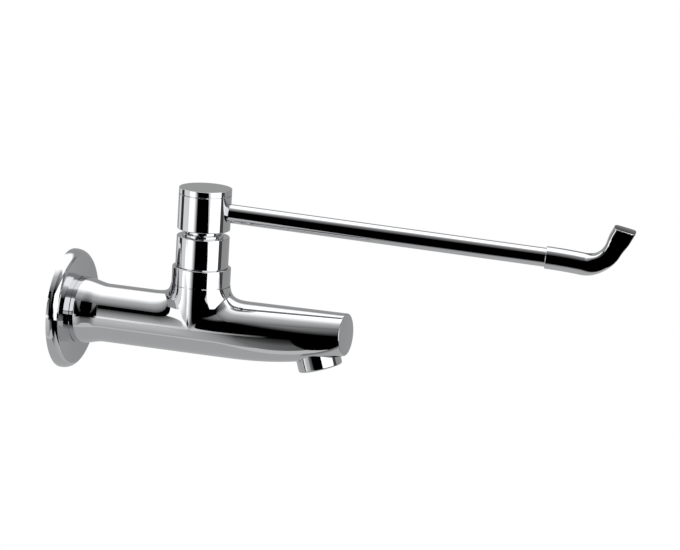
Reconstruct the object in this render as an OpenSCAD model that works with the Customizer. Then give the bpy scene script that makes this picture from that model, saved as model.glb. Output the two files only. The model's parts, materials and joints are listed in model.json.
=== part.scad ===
// Wall-mounted elbow lever tap: quarter-turn ceramic cartridge, long round lever with an upturned grip.
// Frame: the wall is the plane y = 0, the tap stands out along -Y, +Z is up,
// and the origin is where the inlet axis meets the wall. All sizes are in millimetres.
// "Reach" means distance out from the wall, "height" means distance above the inlet axis.

/* [Wall flange] */
// Outer diameter of the wall flange
flange_d = 64; // [50:1:80]
// Thickness of the flange at the front edge of its rim
flange_t = 5.8; // [5:0.1:7]
// Straight band at the edge of the rim, before the rounding starts
flange_edge = 1; // [0.8:0.1:2]
// Width of the rounded band between the rim and the front
flange_round = 3.5; // [2.5:0.5:8]
// Depth to which the front is dished at the collar
flange_dish = 1.6; // [0:0.1:1.8]
// Wall of the hollow flange
flange_wall = 1.8; // [1.2:0.1:2.4]
// Diameter of the collar in the middle of the flange
collar_d = 36; // [33:0.2:40]
// Length of the collar in front of the flange
collar_len = 3.3; // [2:0.1:8]

/* [Body] */
// Distance from the wall to the upright column's axis
column_reach = 74.5; // [68:0.5:95]
// Distance from the wall to the end of the spout
spout_reach = 156.7; // [145:0.5:190]
// Diameter of the level barrel
barrel_d = 31.1; // [29.1:0.2:35.1]
// Diameter of the flared end at the wall
flare_d = 35.4; // [33:0.2:40]
// Straight band at the flared end
flare_edge = 2; // [1:0.5:5]
// Length over which the flare draws in to the barrel
flare_len = 13; // [8:0.5:20]
// Diameter of the neck that carries the column
neck_d = 31.1; // [29.1:0.2:33.9]
// Height of the neck's top face
neck_top = 22.1; // [20:0.1:26]
// Size of the blend between neck and barrel
neck_blend = 13; // [8:0.5:15]
// Distance past the column's axis at which the spout starts to taper
taper_start = 11.5; // [5:0.5:25]
// Width of the spout's end face
spout_end_w = 24.6; // [23:0.2:30]
// Height of the spout's end face
spout_end_h = 22.2; // [20:0.2:28]
// Height of the middle of the spout's end face
spout_end_z = 5; // [3:0.2:7]
// Lean of the spout's end face, its lower edge reaching further out
spout_end_lean = 2.5; // [0:0.5:6]
// How square the underside gets at the outlet, where 0 is round
underside_square = 1.4; // [0:0.1:1.6]

/* [Inlet and waterway] */
// Outside diameter of the inlet pipe thread (G 1/2)
inlet_thread_d = 20.955; // [19:0.005:23]
// Length of thread behind the wall plane
inlet_thread_len = 7; // [6:0.5:20]
// Lead-in bevel at the thread's end
inlet_thread_lead = 1; // [0.5:0.1:2]
// Relief of the plain shank between thread and body
shank_relief = 0.3; // [0.1:0.1:0.8]
// Diameter of the inlet waterway
inlet_bore_d = 12; // [9:0.5:13]
// Drop of the inlet waterway below the inlet axis
inlet_bore_drop = 2.5; // [1.5:0.1:3]
// Metal between the inlet waterway and the valve seat
seat_web = 2; // [1.5:0.1:2.5]
// Diameter of the hole through the valve seat
seat_hole_d = 10; // [8:0.5:11]
// Diameter of the channel along the spout
spout_channel_d = 10; // [8:0.5:11]
// Height of the channel along the spout
spout_channel_z = 7.5; // [6.5:0.1:8]

/* [Cartridge] */
// Diameter of the cartridge bore and thread in the neck
cartridge_d = 21; // [20:0.1:22.5]
// Diameter of the ceramic discs
disc_d = 15.8; // [14.5:0.1:16.2]
// Thickness of each ceramic disc
disc_t = 2.5; // [2:0.1:2.8]
// Thickness of the rubber seat washer
seat_washer_t = 1.5; // [1:0.1:2]
// Thickness of the spindle's drive flange
drive_flange_t = 2.4; // [2:0.1:2.8]
// Thickness of the slip washer above the drive flange
slip_washer_t = 0.8; // [0.5:0.1:1]
// Diameter of the spindle in its bearing
spindle_d = 9; // [8.4:0.1:9.6]
// Thickness of the cartridge flange that seats on the neck
bush_flange_t = 4; // [3:0.1:5]
// Diameter of the thread that holds the cover
cover_thread_d = 22.4; // [21:0.1:23.4]
// Diameter of the cartridge's upper guide
guide_d = 16.4; // [15:0.1:17]
// Turn of the handle from closed to fully open
handle_turn = 90; // [60:1:100]
// Width of the stop lug on the drive flange, as an angle
stop_lug_angle = 20; // [14:1:26]
// Number of teeth on the handle spline
spline_teeth = 20; // [16:1:28]
// Diameter of the handle spline
spline_d = 8; // [7.4:0.1:8.2]
// Length of the handle spline
spline_len = 8.5; // [6:0.1:10]
// Depth of the teeth of the handle spline
spline_depth = 0.35; // [0.2:0.05:0.5]
// Diameter of the handle screw
screw_d = 5; // [4:0.1:5.2]
// Diameter of the screw's head
screw_head_d = 8.8; // [7.5:0.1:9.6]
// Height of the screw's head
screw_head_h = 2.8; // [2:0.1:3.4]
// Thickness of the spring washer under the screw's head
spring_washer_t = 1; // [0.6:0.1:1.4]
// Thickness of the circlip
clip_t = 0.9; // [0.6:0.1:1.2]
// Depth of the circlip's groove
clip_groove_depth = 0.8; // [0.5:0.1:1]

/* [Ring and cover] */
// Height of the ring between neck and cover
ring_h = 9.7; // [8.5:0.1:14]
// Wall of the ring
ring_wall = 1.5; // [1:0.1:1.8]
// Outside diameter of the cover
cover_d = 28; // [26.4:0.1:30]
// Height of the cover's side
cover_h = 16.5; // [15:0.1:24]
// Wall of the cover
cover_wall = 1.5; // [1:0.1:1.6]
// Height of the raised lip on the cover's top
cover_lip_h = 1.2; // [0.6:0.1:1.5]
// Width of the raised lip on the cover's top
cover_lip_w = 1.4; // [0.8:0.1:1.8]

/* [Handle hub] */
// Outside diameter of the handle hub
hub_d = 28; // [26:0.2:32]
// Height of the hub's side, without the cap
hub_h = 18.7; // [17:0.1:24]
// Open gap between cover and hub
hub_gap = 3.6; // [2:0.1:5]
// Outside diameter of the skirt below the hub
skirt_d = 18.4; // [17:0.1:20]
// Wall of the skirt
skirt_wall = 1.8; // [1.2:0.1:2.2]
// Height of the top cap's rim
cap_h = 3.4; // [2:0.1:5]
// Width of the cap's rim outside its plug
cap_rim_w = 3; // [2.5:0.1:4]
// Depth of the cap's plug in the hub
cap_plug_h = 4; // [3:0.1:4.1]
// Wall of the cap's plug
cap_plug_wall = 2.5; // [2:0.1:3]

/* [Lever] */
// Turn of the lever from its closed stop, where it is in line with the spout
lever_turned = 12; // [0:1:30]
// Slope of the lever, down towards its grip
lever_droop = 3.4; // [0:0.1:5]
// Diameter of the lever rod
rod_d = 10; // [8.4:0.1:10.4]
// Distance from the column's axis to the joint of rod and grip
rod_reach = 181.2; // [120:0.1:260]
// Diameter of the threaded stud that holds the rod in the hub
stud_d = 8; // [6:0.1:8]
// Depth of the rod's seat below the hub's surface
rod_seat_depth = 1.4; // [1.2:0.1:2.4]
// Diameter of the grip where the rod enters
grip_d = 11.9; // [11:0.1:15]
// Diameter of the rod's end inside the grip
spigot_d = 7; // [5:0.1:8]
// Length of the rod's end inside the grip
spigot_len = 14; // [8:0.5:17]
// Length of the grip before its bend
grip_straight = 19.5; // [18:0.5:40]
// Slope to which the grip dips before its bend
grip_dip = 4; // [0:0.5:6]
// Radius of the upward bend at the middle of the bar
bend_r = 15; // [12:0.5:25]
// Rise of the bar past the bend, from the line of the rod
bend_angle = 67; // [40:1:75]
// Length of bar past the bend
tip_len = 13; // [6:0.5:20]
// Thickness of the bar at the bend
bend_d = 9.6; // [8:0.1:12]
// Thickness of the bar at its end
tip_d = 11.4; // [9:0.1:13]
// Width of the bar across its end
tip_w = 13.5; // [11:0.1:16]
// Lean of the cut end against a square cut
tip_cut_lean = 14; // [0:1:20]
// How square the bar's section gets towards its end, where 0 is round
grip_square = 3; // [0:0.5:5]

/* [Aerator] */
// Distance from the spout's end back to the middle of the outlet face
outlet_setback = 12.9; // [12.5:0.1:18]
// How far the middle of the outlet face stands below the spout's underside
outlet_stand = 5.2; // [2:0.1:6]
// Tilt of the outlet, so that the water leaves away from the wall
outlet_tilt = 17; // [8:0.5:18]
// Outside diameter of the aerator shell
aerator_d = 23.4; // [21:0.1:23.6]
// Height of the shell below its thread
aerator_h = 11; // [10:0.1:12]
// Diameter of the aerator thread
aerator_thread_d = 20; // [18:0.1:20.4]
// Length of the aerator thread
aerator_thread_len = 4.5; // [3:0.1:5]
// Wall of the shell inside its thread
aerator_wall = 1.5; // [1:0.1:1.8]
// Width of the lip that holds the insert in the shell
aerator_lip_w = 0.8; // [0.5:0.1:1.2]
// Height of that lip
aerator_lip_t = 1; // [0.6:0.1:1.5]
// Width of the washer's seat above the thread
outlet_seat_w = 2; // [1.6:0.1:2.5]
// Height of the honeycomb insert
insert_h = 8; // [5:0.1:9]
// Thickness of the flow screen
screen_t = 0.6; // [0.4:0.1:1]
// Thickness of the aerator's rubber washer
aerator_washer_t = 1.5; // [1:0.1:2]
// Width of the holes in the honeycomb insert
insert_hole_d = 1.7; // [1.2:0.1:1.9]
// Wall between the holes in the honeycomb insert
insert_web = 0.5; // [0.4:0.1:1]
// Width of the holes in the flow screen
screen_hole_d = 0.9; // [0.6:0.1:1.1]
// Wall between the holes in the flow screen
screen_web = 0.7; // [0.5:0.1:1]

/* [Fits] */
// Radial gap where a thread, plug or spigot goes into its hole
fit = 0.05; // [0.02:0.01:0.1]
// Radial gap of the spindle in its bearing
running_fit = 0.05; // [0.02:0.01:0.1]
// Gap between pieces that lie loosely beside each other
loose_gap = 0.2; // [0.1:0.05:0.3]
// Open gap around turning pieces
turning_gap = 0.35; // [0.2:0.05:0.5]
// Water film between the two lapped discs
disc_film = 0.02; // [0.01:0.01:0.05]
// Angle between a stop lug and its stop at each end of the turn
stop_slack = 2; // [1:0.5:4]
// Thickness of the O-rings on bush and spindle
o_ring_d = 1.5; // [1.2:0.1:1.7]
// Thickness of the cap's O-ring
cap_ring_d = 1; // [0.8:0.1:1.2]
// Small bevel on turned edges
edge_bevel = 0.5; // [0.2:0.1:0.8]

/* [Hidden] */
$fn = 96;

chrome = [0.80, 0.81, 0.82];
brass = [0.78, 0.63, 0.30];
steel = [0.62, 0.63, 0.65];
rubber = [0.10, 0.10, 0.11];
ceramic = [0.93, 0.92, 0.89];
white_plastic = [0.90, 0.90, 0.88];

// A little extra length, so that cuts pass right through
over = 1;

// Radii that several pieces share
barrel_r = barrel_d / 2;
neck_r = neck_d / 2;
hub_r = hub_d / 2;
cover_r = cover_d / 2;
skirt_r = skirt_d / 2;
disc_r = disc_d / 2;
spindle_r = spindle_d / 2;
rod_r = rod_d / 2;
cartridge_r = cartridge_d / 2;
inlet_thread_r = inlet_thread_d / 2;
aerator_r = aerator_d / 2;
aerator_thread_r = aerator_thread_d / 2;
cover_thread_r = cover_thread_d / 2;
guide_r = guide_d / 2;
o_ring_r = (o_ring_d - fit) / 2;
cap_ring_r = (cap_ring_d - fit) / 2;

// Stations along the inlet axis, as reach from the wall
body_back = flange_t - flange_dish + collar_len;
taper_reach = column_reach + taper_start;
taper_len = spout_reach - taper_reach;
channel_start = column_reach + disc_r;
outlet_reach = spout_reach - outlet_setback;
outlet_drop = outlet_stand - barrel_bottom(outlet_reach);

// Heights up the lower column, from the waterway to the neck's ring
inlet_bore_top = inlet_bore_d / 2 - inlet_bore_drop;
seat_z = inlet_bore_top + seat_web;
fixed_disc_z = seat_z + seat_washer_t;
moving_disc_z = fixed_disc_z + disc_t + disc_film;
drive_z = moving_disc_z + disc_t;
slip_washer_z = drive_z + drive_flange_t + disc_film;
bush_shoulder_z = slip_washer_z + slip_washer_t;
bush_bottom_z = fixed_disc_z + loose_gap;
bush_groove_depth = 0.3;
bush_groove_z = neck_top - o_ring_d - loose_gap / 2;
flange_top_z = neck_top + bush_flange_t;
ring_top_z = neck_top + ring_h;
// The spindle's two seals, and the foot by which the cover grips its thread
ring_start = 2;
ring_pitch = 2.4 * o_ring_d;
spindle_ring_heights = [neck_top + ring_start, neck_top + ring_start + ring_pitch];
cover_foot_h = 5;
guide_start_z = ring_top_z + cover_foot_h + over;

// Heights up the handle
cover_top_z = ring_top_z + cover_h;
guide_top_z = cover_top_z - cover_wall - clip_t;
skirt_entry = 0.3;
skirt_bottom_z = cover_top_z - skirt_entry;
hub_bottom_z = cover_top_z + hub_gap;
hub_top_z = hub_bottom_z + hub_h;
cap_top_z = hub_top_z + cap_h;
cap_groove_z = hub_top_z - cap_plug_h / 2;
cap_plug_floor = hub_top_z - cap_plug_h - loose_gap;
// Metal above the lever's stud, and between the screw's seat and the spline's end
stud_roof = 0.4;
screw_web = 2.7;
lever_z = cap_plug_floor - stud_roof - stud_d / 2;
screw_web_z = lever_z + stud_d / 4;
screw_head_z = screw_web_z + spring_washer_t;
spline_top_z = screw_web_z - screw_web;
spline_bottom_z = spline_top_z - spline_len;
skirt_roof_z = spline_bottom_z - loose_gap;

// Bores and seats that pieces share
ring_bore_r = neck_r - ring_wall;
bush_flange_r = ring_bore_r - loose_gap;
bush_bore_r = disc_r + loose_gap / 2;
// Width of the water gap round the bush's basket
basket_gap = 1.1;
bush_basket_r = cartridge_r - basket_gap;
lug_r = bush_basket_r - loose_gap;
bearing_r = spindle_r + running_fit;
o_groove_r = bearing_r - o_ring_d;
cap_plug_r = hub_r - cap_rim_w;
cap_bore_r = cap_plug_r + fit;
clip_groove_r = spindle_r - clip_groove_depth;
// How far the circlip stands out past the spindle
clip_ledge = 2;
clip_r = spindle_r + clip_ledge;
screw_hole_r = screw_d / 2 + loose_gap;
screw_head_r = screw_head_d / 2;
// Room for a driver round the screw's head, and the wall between that pocket and the lever's stud
pocket_gap = 1.2;
pocket_wall = 1.1;
screw_pocket_r = screw_head_r + pocket_gap;
stud_tip = screw_pocket_r + pocket_wall;
rod_seat = hub_r - rod_seat_depth;
aerator_bore_r = aerator_thread_r - aerator_wall;
aerator_lip_r = aerator_bore_r - aerator_lip_w;
outlet_bore_r = aerator_thread_r - outlet_seat_w;
outlet_seat_z = aerator_h + aerator_thread_len + aerator_washer_t;
// Height of the chamber above the aerator
outlet_chamber_h = 5.5;

// The middle of the turn, seen from above, from which the bush's windows and the disc's ears spread
turn_middle = handle_turn / 2;
// Solid middle of the ceramic discs, land outside their ports, and the ports' spread
port_core_r = 1.8;
port_land = 1.6;
fixed_port_spread = 60;
moving_port_spread = 76;

// Frames

module at_column() {
    translate([0, -column_reach, 0]) children();
}

// Local +Z points out of the wall
module along_reach(reach = 0) {
    translate([0, -reach, 0]) rotate([90, 0, 0]) children();
}

// The turning frame of the handle
module on_handle() {
    at_column() rotate([0, 0, lever_turned]) children();
}

// Local +Z runs from the column's axis along the lever, in the handle's frame
module along_lever() {
    translate([0, 0, lever_z]) rotate([90 + lever_droop, 0, 0]) children();
}

// Local +Z runs from the middle of the outlet face up into the spout
module at_outlet() {
    translate([0, -outlet_reach, -outlet_drop]) rotate([-outlet_tilt, 0, 0]) children();
}

// Shapes that repeat

module ring(inner_r, outer_r, bottom, height) {
    translate([0, 0, bottom]) difference() {
        cylinder(h = height, r = outer_r);
        translate([0, 0, -over]) cylinder(h = height + 2 * over, r = inner_r);
    }
}

module o_ring(middle_r, height, tube_r) {
    translate([0, 0, height]) rotate_extrude() translate([middle_r, 0]) circle(r = tube_r, $fn = 32);
}

// A wedge of a cylinder, centred on the given angle
module wedge(radius, middle, spread, bottom, height) {
    translate([0, 0, bottom])
        rotate([0, 0, middle - spread / 2])
            rotate_extrude(angle = spread) square([radius, height]);
}

// Two opposite ports through a disc, which leave its core solid
module disc_ports(radius, middle, spread, bottom) {
    for (side = [0, 180])
        difference() {
            wedge(radius, side + middle, spread, bottom - over, disc_t + 2 * over);
            translate([0, 0, bottom - 2 * over]) cylinder(h = disc_t + 4 * over, r = port_core_r);
        }
}

// Holes in rows, each row shifted by half a step, kept inside a circle
module hole_field(hole_d, step, limit_r, bottom, height, sides) {
    rows = ceil(limit_r / step);
    for (row = [-rows:rows]) {
        for (column = [-rows - 1:rows + 1]) {
            x = (column + (row % 2 == 0 ? 0 : 0.5)) * step;
            y = row * step * sqrt(3) / 2;
            if (norm([x, y]) + hole_d / 2 < limit_r)
                translate([x, y, bottom]) cylinder(h = height, d = hole_d, $fn = sides);
        }
    }
}

function spline_points(radius) = [
    for (i = [0:2 * spline_teeth - 1])
        let (a = i * 180 / spline_teeth, r = radius - (i % 2 == 0 ? 0 : spline_depth))
            [r * cos(a), r * sin(a)]
];

// Quarter-ellipse from [r0, z0] to [r1, z1], flat where it ends
function round_over(r0, z0, r1, z1, steps) = [
    for (i = [0:steps])
        let (a = 90 * i / steps)
            [r1 + (r0 - r1) * cos(a), z0 + (z1 - z0) * sin(a)]
];

// Skin over rings of points, closed by a flat face at each end
module skin(rings) {
    sides = len(rings[0]);
    last = len(rings) - 1;
    points = [for (r = rings) for (p = r) p];
    side_faces = [
        for (i = [0:last - 1])
            for (j = [0:sides - 1])
                let (k = (j + 1) % sides, a = i * sides + j, b = i * sides + k)
                    each [[a, b + sides, b], [a, a + sides, b + sides]]
    ];
    first_face = [for (j = [0:sides - 1]) j];
    last_face = [for (j = [sides - 1:-1:0]) last * sides + j];
    polyhedron(points, concat(side_faces, [first_face, last_face]), convexity = 6);
}

// Outer form of the body: a barrel that flares at the wall and tapers to the spout, blended into the neck

function smooth_step(t) = let (u = min(max(t, 0), 1)) u * u * (3 - 2 * u);
function taper(reach) = min(max((reach - taper_reach) / taper_len, 0), 1);
function barrel_top(reach) = barrel_r + (spout_end_z + spout_end_h / 2 - barrel_r) * taper(reach);
function barrel_bottom(reach) =
    -barrel_r + (spout_end_z - spout_end_h / 2 + barrel_r) * pow(taper(reach), 2);
function flare(reach) =
    (flare_d / 2 - barrel_r) * (1 - smooth_step((reach - body_back - flare_edge) / flare_len));
function half_width(reach) = barrel_r + flare(reach) + (spout_end_w / 2 - barrel_r) * pow(taper(reach), 2);
function half_height(reach) = flare(reach) + (barrel_top(reach) - barrel_bottom(reach)) / 2;
function middle_z(reach) = (barrel_top(reach) + barrel_bottom(reach)) / 2;

// Power of the rounded-square underside: 2 is round, and t * t * (1 - t) peaks at 4 / 27
function squareness(reach) = 2 + underside_square * 27 / 4 * pow(taper(reach), 2) * (1 - taper(reach));

// Distance from the barrel's middle line to its surface, at an angle up from the level
function barrel_radius(reach, angle) =
    let (n = sin(angle) < 0 ? squareness(reach) : 2)
    pow(
        pow(abs(cos(angle)) / half_width(reach), n) + pow(abs(sin(angle)) / half_height(reach), n),
        -1 / n
    );

// Below 0 inside the blended barrel and neck, above 0 outside
// The blend fades out at the sides, where barrel and neck run along each other
function body_field(reach, angle, r) =
    let (
        x = r * cos(angle),
        z = middle_z(reach) + r * sin(angle),
        d = max(norm([reach - column_reach, x]), tiny),
        to_barrel = r - barrel_radius(reach, angle),
        to_neck = max(d - neck_r, -z),
        blend = neck_blend * (1 - pow(cos(angle) * x / d, 2)) + tiny,
        near = max(blend - abs(to_barrel - to_neck), 0) / blend
    )
    max(min(to_barrel, to_neck) - pow(near, 3) * blend / 6, z - skin_top_z);

// Halves the span between low and high until the surface is found
function surface_radius(reach, angle, low, high, halvings) =
    let (mid = (low + high) / 2)
    halvings == 0 ? mid
    : body_field(reach, angle, mid) < 0 ? surface_radius(reach, angle, mid, high, halvings - 1)
    : surface_radius(reach, angle, low, mid, halvings - 1);

tiny = 0.01;
body_sides = 40;
flare_steps = 5;
spout_steps = 9;
surface_halvings = 24;
// The skin runs on above the neck's top face, which then trims it
skin_top_z = neck_top + 6;
blend_back = column_reach - neck_r - neck_blend;
blend_front = column_reach + neck_r + neck_blend;
flare_end = body_back + flare_edge + flare_len;
body_slices = concat(
    [for (i = [0:flare_steps]) body_back + (flare_edge + flare_len) * i / flare_steps],
    [(flare_end + blend_back) / 2],
    [for (a = [0:15:75]) blend_back + neck_blend * sin(a)],
    [for (a = [-90:10:90]) column_reach + neck_r * sin(a)],
    [for (a = [75:-15:0]) blend_front - neck_blend * sin(a)],
    [for (i = [1:spout_steps]) blend_front + (spout_reach - blend_front) * i / spout_steps]
);

function body_ring(reach) = [
    for (j = [0:body_sides - 1])
        let (
            angle = j * 360 / body_sides,
            near_neck = reach > blend_back - tiny && reach < blend_front + tiny && angle <= 180,
            base = barrel_radius(reach, angle),
            r = near_neck ? surface_radius(reach, angle, base - tiny, 3 * neck_r, surface_halvings) : base,
            z = r * sin(angle),
            lean = tan(spout_end_lean) * z * taper(reach)
        )
        [r * cos(angle), -reach + lean, middle_z(reach) + z]
];

// Fixed pieces

module body() {
    trim_h = 4 * barrel_d;
    color(chrome) difference() {
        union() {
            intersection() {
                skin([for (reach = body_slices) body_ring(reach)]);
                translate([-flare_d, -2 * spout_reach, neck_top - trim_h])
                    cube([2 * flare_d, 2 * spout_reach, trim_h]);
            }
            inlet_thread();
        }
        waterway();
        // Cartridge chamber with the recess for its O-ring
        at_column() translate([0, 0, seat_z]) cylinder(h = neck_top, r = cartridge_r);
        at_column() translate([0, 0, bush_groove_z])
            cylinder(h = o_ring_d + over, r = cartridge_r + o_ring_d - bush_groove_depth);
        // Stepped bore for the aerator
        at_outlet() {
            translate([0, 0, -aerator_h]) cylinder(h = 2 * aerator_h, r = aerator_r + loose_gap);
            cylinder(h = outlet_seat_z, r = aerator_thread_r + fit);
            cylinder(h = outlet_seat_z + outlet_chamber_h, r = outlet_bore_r);
        }
    }
}

// Threaded pipe end behind the wall plane, on a plain shank that the flange slides over
module inlet_thread() {
    along_reach() cylinder(h = body_back + flare_edge, r = inlet_thread_r - shank_relief);
    along_reach(inlet_thread_lead - inlet_thread_len)
        cylinder(h = inlet_thread_len - inlet_thread_lead, r = inlet_thread_r);
    along_reach(-inlet_thread_len)
        cylinder(h = inlet_thread_lead, r1 = inlet_thread_r - inlet_thread_lead, r2 = inlet_thread_r);
}

// Inlet bore up through the valve seat, and the channel from the chamber to the outlet
module waterway() {
    translate([0, 0, -inlet_bore_drop])
        along_reach(-inlet_thread_len - over)
            cylinder(h = inlet_thread_len + over + column_reach + inlet_bore_d / 2, d = inlet_bore_d);
    at_column() translate([0, 0, -inlet_bore_drop])
        cylinder(h = seat_z + inlet_bore_drop + over, d = seat_hole_d);
    translate([0, 0, spout_channel_z])
        along_reach(channel_start) cylinder(h = outlet_reach - channel_start, d = spout_channel_d);
}

module wall_flange() {
    rim_r = flange_d / 2;
    bore_r = inlet_thread_r + loose_gap;
    front_r = max(rim_r - flange_round, collar_d / 2 + edge_bevel);
    boss_r = bore_r + flange_wall;
    dish_t = flange_t - flange_dish;
    hollow_t = dish_t - flange_wall;
    round_steps = 12;
    color(chrome) along_reach() rotate_extrude() polygon(concat(
        [[rim_r, 0]],
        round_over(rim_r, flange_edge, front_r, flange_t, round_steps),
        [
            [collar_d / 2, dish_t],
            [collar_d / 2, body_back],
            [bore_r, body_back],
            [bore_r, flange_edge],
            [boss_r, flange_edge],
            [boss_r, hollow_t],
            [collar_d / 2, hollow_t],
            [front_r - flange_wall / 2, flange_t - flange_wall],
            [rim_r - flange_wall, 0]
        ]
    ));
}

module neck_ring() {
    lip_r = cover_thread_r + loose_gap;
    color(chrome) at_column() rotate_extrude() polygon([
        [ring_bore_r, neck_top],
        [neck_r, neck_top],
        [neck_r, ring_top_z - edge_bevel],
        [neck_r - edge_bevel, ring_top_z],
        [lip_r, ring_top_z],
        [lip_r, ring_top_z - ring_wall],
        [ring_bore_r, ring_top_z - ring_wall]
    ]);
}

module bonnet_cover() {
    foot_r = cover_thread_r + fit;
    bore_r = cover_r - cover_wall;
    hole_r = skirt_r + turning_gap;
    lip_r = hole_r + cover_lip_w;
    color(chrome) at_column() rotate_extrude() polygon([
        [foot_r, ring_top_z],
        [cover_r, ring_top_z],
        [cover_r, cover_top_z - edge_bevel],
        [cover_r - edge_bevel, cover_top_z],
        [lip_r, cover_top_z],
        [lip_r, cover_top_z + cover_lip_h],
        [hole_r, cover_top_z + cover_lip_h],
        [hole_r, cover_top_z - cover_wall],
        [bore_r, cover_top_z - cover_wall],
        [bore_r, ring_top_z + cover_foot_h],
        [foot_r, ring_top_z + cover_foot_h]
    ]);
}

module cartridge_bush() {
    groove_r = cartridge_r - bush_groove_depth;
    window_spread = handle_turn + stop_lug_angle + 2 * stop_slack;
    window_h = slip_washer_z + slip_washer_t / 2 - moving_disc_z;
    flat_depth = 1;
    color(brass) at_column() difference() {
        rotate_extrude() polygon([
            [bush_bore_r, bush_bottom_z],
            [bush_basket_r, bush_bottom_z],
            [bush_basket_r, bush_shoulder_z],
            [cartridge_r - fit, bush_shoulder_z + basket_gap],
            [cartridge_r - fit, bush_groove_z],
            [groove_r, bush_groove_z],
            [groove_r, neck_top],
            [bush_flange_r, neck_top],
            [bush_flange_r, flange_top_z],
            [cover_thread_r, flange_top_z],
            [cover_thread_r, guide_start_z],
            [guide_r, guide_start_z],
            [guide_r, guide_top_z],
            [bearing_r, guide_top_z],
            [bearing_r, bush_shoulder_z],
            [bush_bore_r, bush_shoulder_z]
        ]);
        // Two windows let the water out and stop the spindle's lugs at both ends of the turn
        for (side = [0, 180])
            wedge(cartridge_r, side - 90 + turn_middle, window_spread, moving_disc_z, window_h);
        // Notches for the fixed disc's ears
        for (side = [0, 180])
            wedge(cartridge_r, side + turn_middle, stop_lug_angle, bush_bottom_z - over, disc_t + over);
        // Spanner flats
        for (turn = [0, 180])
            rotate([0, 0, turn])
                translate([bush_flange_r - flat_depth, -bush_flange_r, neck_top + flat_depth])
                    cube([2 * flat_depth, 2 * bush_flange_r, bush_flange_t]);
    }
}

module bush_o_ring() {
    ring_r = cartridge_r - bush_groove_depth + o_ring_d / 2;
    ring_z = neck_top - (o_ring_d + loose_gap / 2) / 2;
    color(rubber) at_column() o_ring(ring_r, ring_z, o_ring_r);
}

module seat_washer() {
    color(rubber) at_column() ring(seat_hole_d / 2 + loose_gap, disc_r, seat_z, seat_washer_t);
}

// Its two ears sit in the bush's notches and keep it from turning
module fixed_disc() {
    color(ceramic) at_column() difference() {
        union() {
            translate([0, 0, fixed_disc_z]) cylinder(h = disc_t, r = disc_r);
            for (side = [0, 180])
                wedge(lug_r, side + turn_middle, stop_lug_angle - 2 * stop_slack,
                    fixed_disc_z + loose_gap, disc_t - 2 * loose_gap);
        }
        disc_ports(disc_r - port_land, 0, fixed_port_spread, fixed_disc_z);
    }
}

// Handle pieces inside the column, which turn together

module moving_disc() {
    color(ceramic) on_handle() difference() {
        translate([0, 0, moving_disc_z]) cylinder(h = disc_t, r = disc_r - fit);
        disc_ports(disc_r + over, 90, moving_port_spread, moving_disc_z);
        drive_bar(loose_gap / 2);
    }
}

// The bar under the drive flange that turns the moving disc, and with a gap the slot that takes it
module drive_bar(gap) {
    bar_w = 2 * port_core_r - port_land / 2;
    bar_h = disc_t / 2;
    bar_l = 2 * (disc_r - port_land / 2);
    translate([-bar_l / 2 - gap, -bar_w / 2 - gap, drive_z - bar_h - gap])
        cube([bar_l + 2 * gap, bar_w + 2 * gap, bar_h + gap + over]);
}

module spindle() {
    flange_r = bush_bore_r - loose_gap;
    clip_z = guide_top_z + fit;
    shaft_top_r = (spindle_r + clip_groove_r) / 2;
    spline_root_r = spline_d / 2 - spline_depth - 2 * fit;
    color(brass) on_handle() difference() {
        union() {
            rotate_extrude() polygon([
                [0, drive_z],
                [flange_r, drive_z],
                [flange_r, drive_z + drive_flange_t],
                [spindle_r, drive_z + drive_flange_t],
                [spindle_r, clip_z],
                [clip_groove_r, clip_z],
                [clip_groove_r, clip_z + clip_t + 2 * fit],
                [shaft_top_r, clip_z + clip_t + 2 * fit],
                [shaft_top_r, spline_bottom_z],
                [spline_root_r, spline_bottom_z],
                [spline_root_r, spline_top_z],
                [0, spline_top_z]
            ]);
            translate([0, 0, spline_bottom_z])
                linear_extrude(spline_len) polygon(spline_points(spline_d / 2 - fit));
            // Stop lugs, which meet the ends of the bush's windows
            for (side = [0, 180])
                wedge(lug_r, side - 90, stop_lug_angle, drive_z, drive_flange_t);
            drive_bar(0);
        }
        for (seat = spindle_ring_heights)
            ring(o_groove_r, spindle_r + over, seat - (o_ring_d + fit) / 2, o_ring_d + fit);
        translate([0, 0, spline_bottom_z]) cylinder(h = spline_len + over, r = screw_d / 2);
    }
}

module spindle_o_rings() {
    color(rubber) on_handle()
        for (seat = spindle_ring_heights)
            o_ring(o_groove_r + o_ring_d / 2, seat, o_ring_r);
}

module slip_washer() {
    color(white_plastic) at_column()
        ring(bearing_r + loose_gap / 2, bush_bore_r - loose_gap / 2, slip_washer_z, slip_washer_t);
}

module circlip() {
    opening = 50;
    color(steel) on_handle() difference() {
        ring(clip_groove_r + fit, clip_r, guide_top_z + 2 * fit, clip_t);
        wedge(clip_r + over, 0, opening, guide_top_z - over, clip_t + 2 * over);
    }
}

// Handle pieces outside the column

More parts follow.
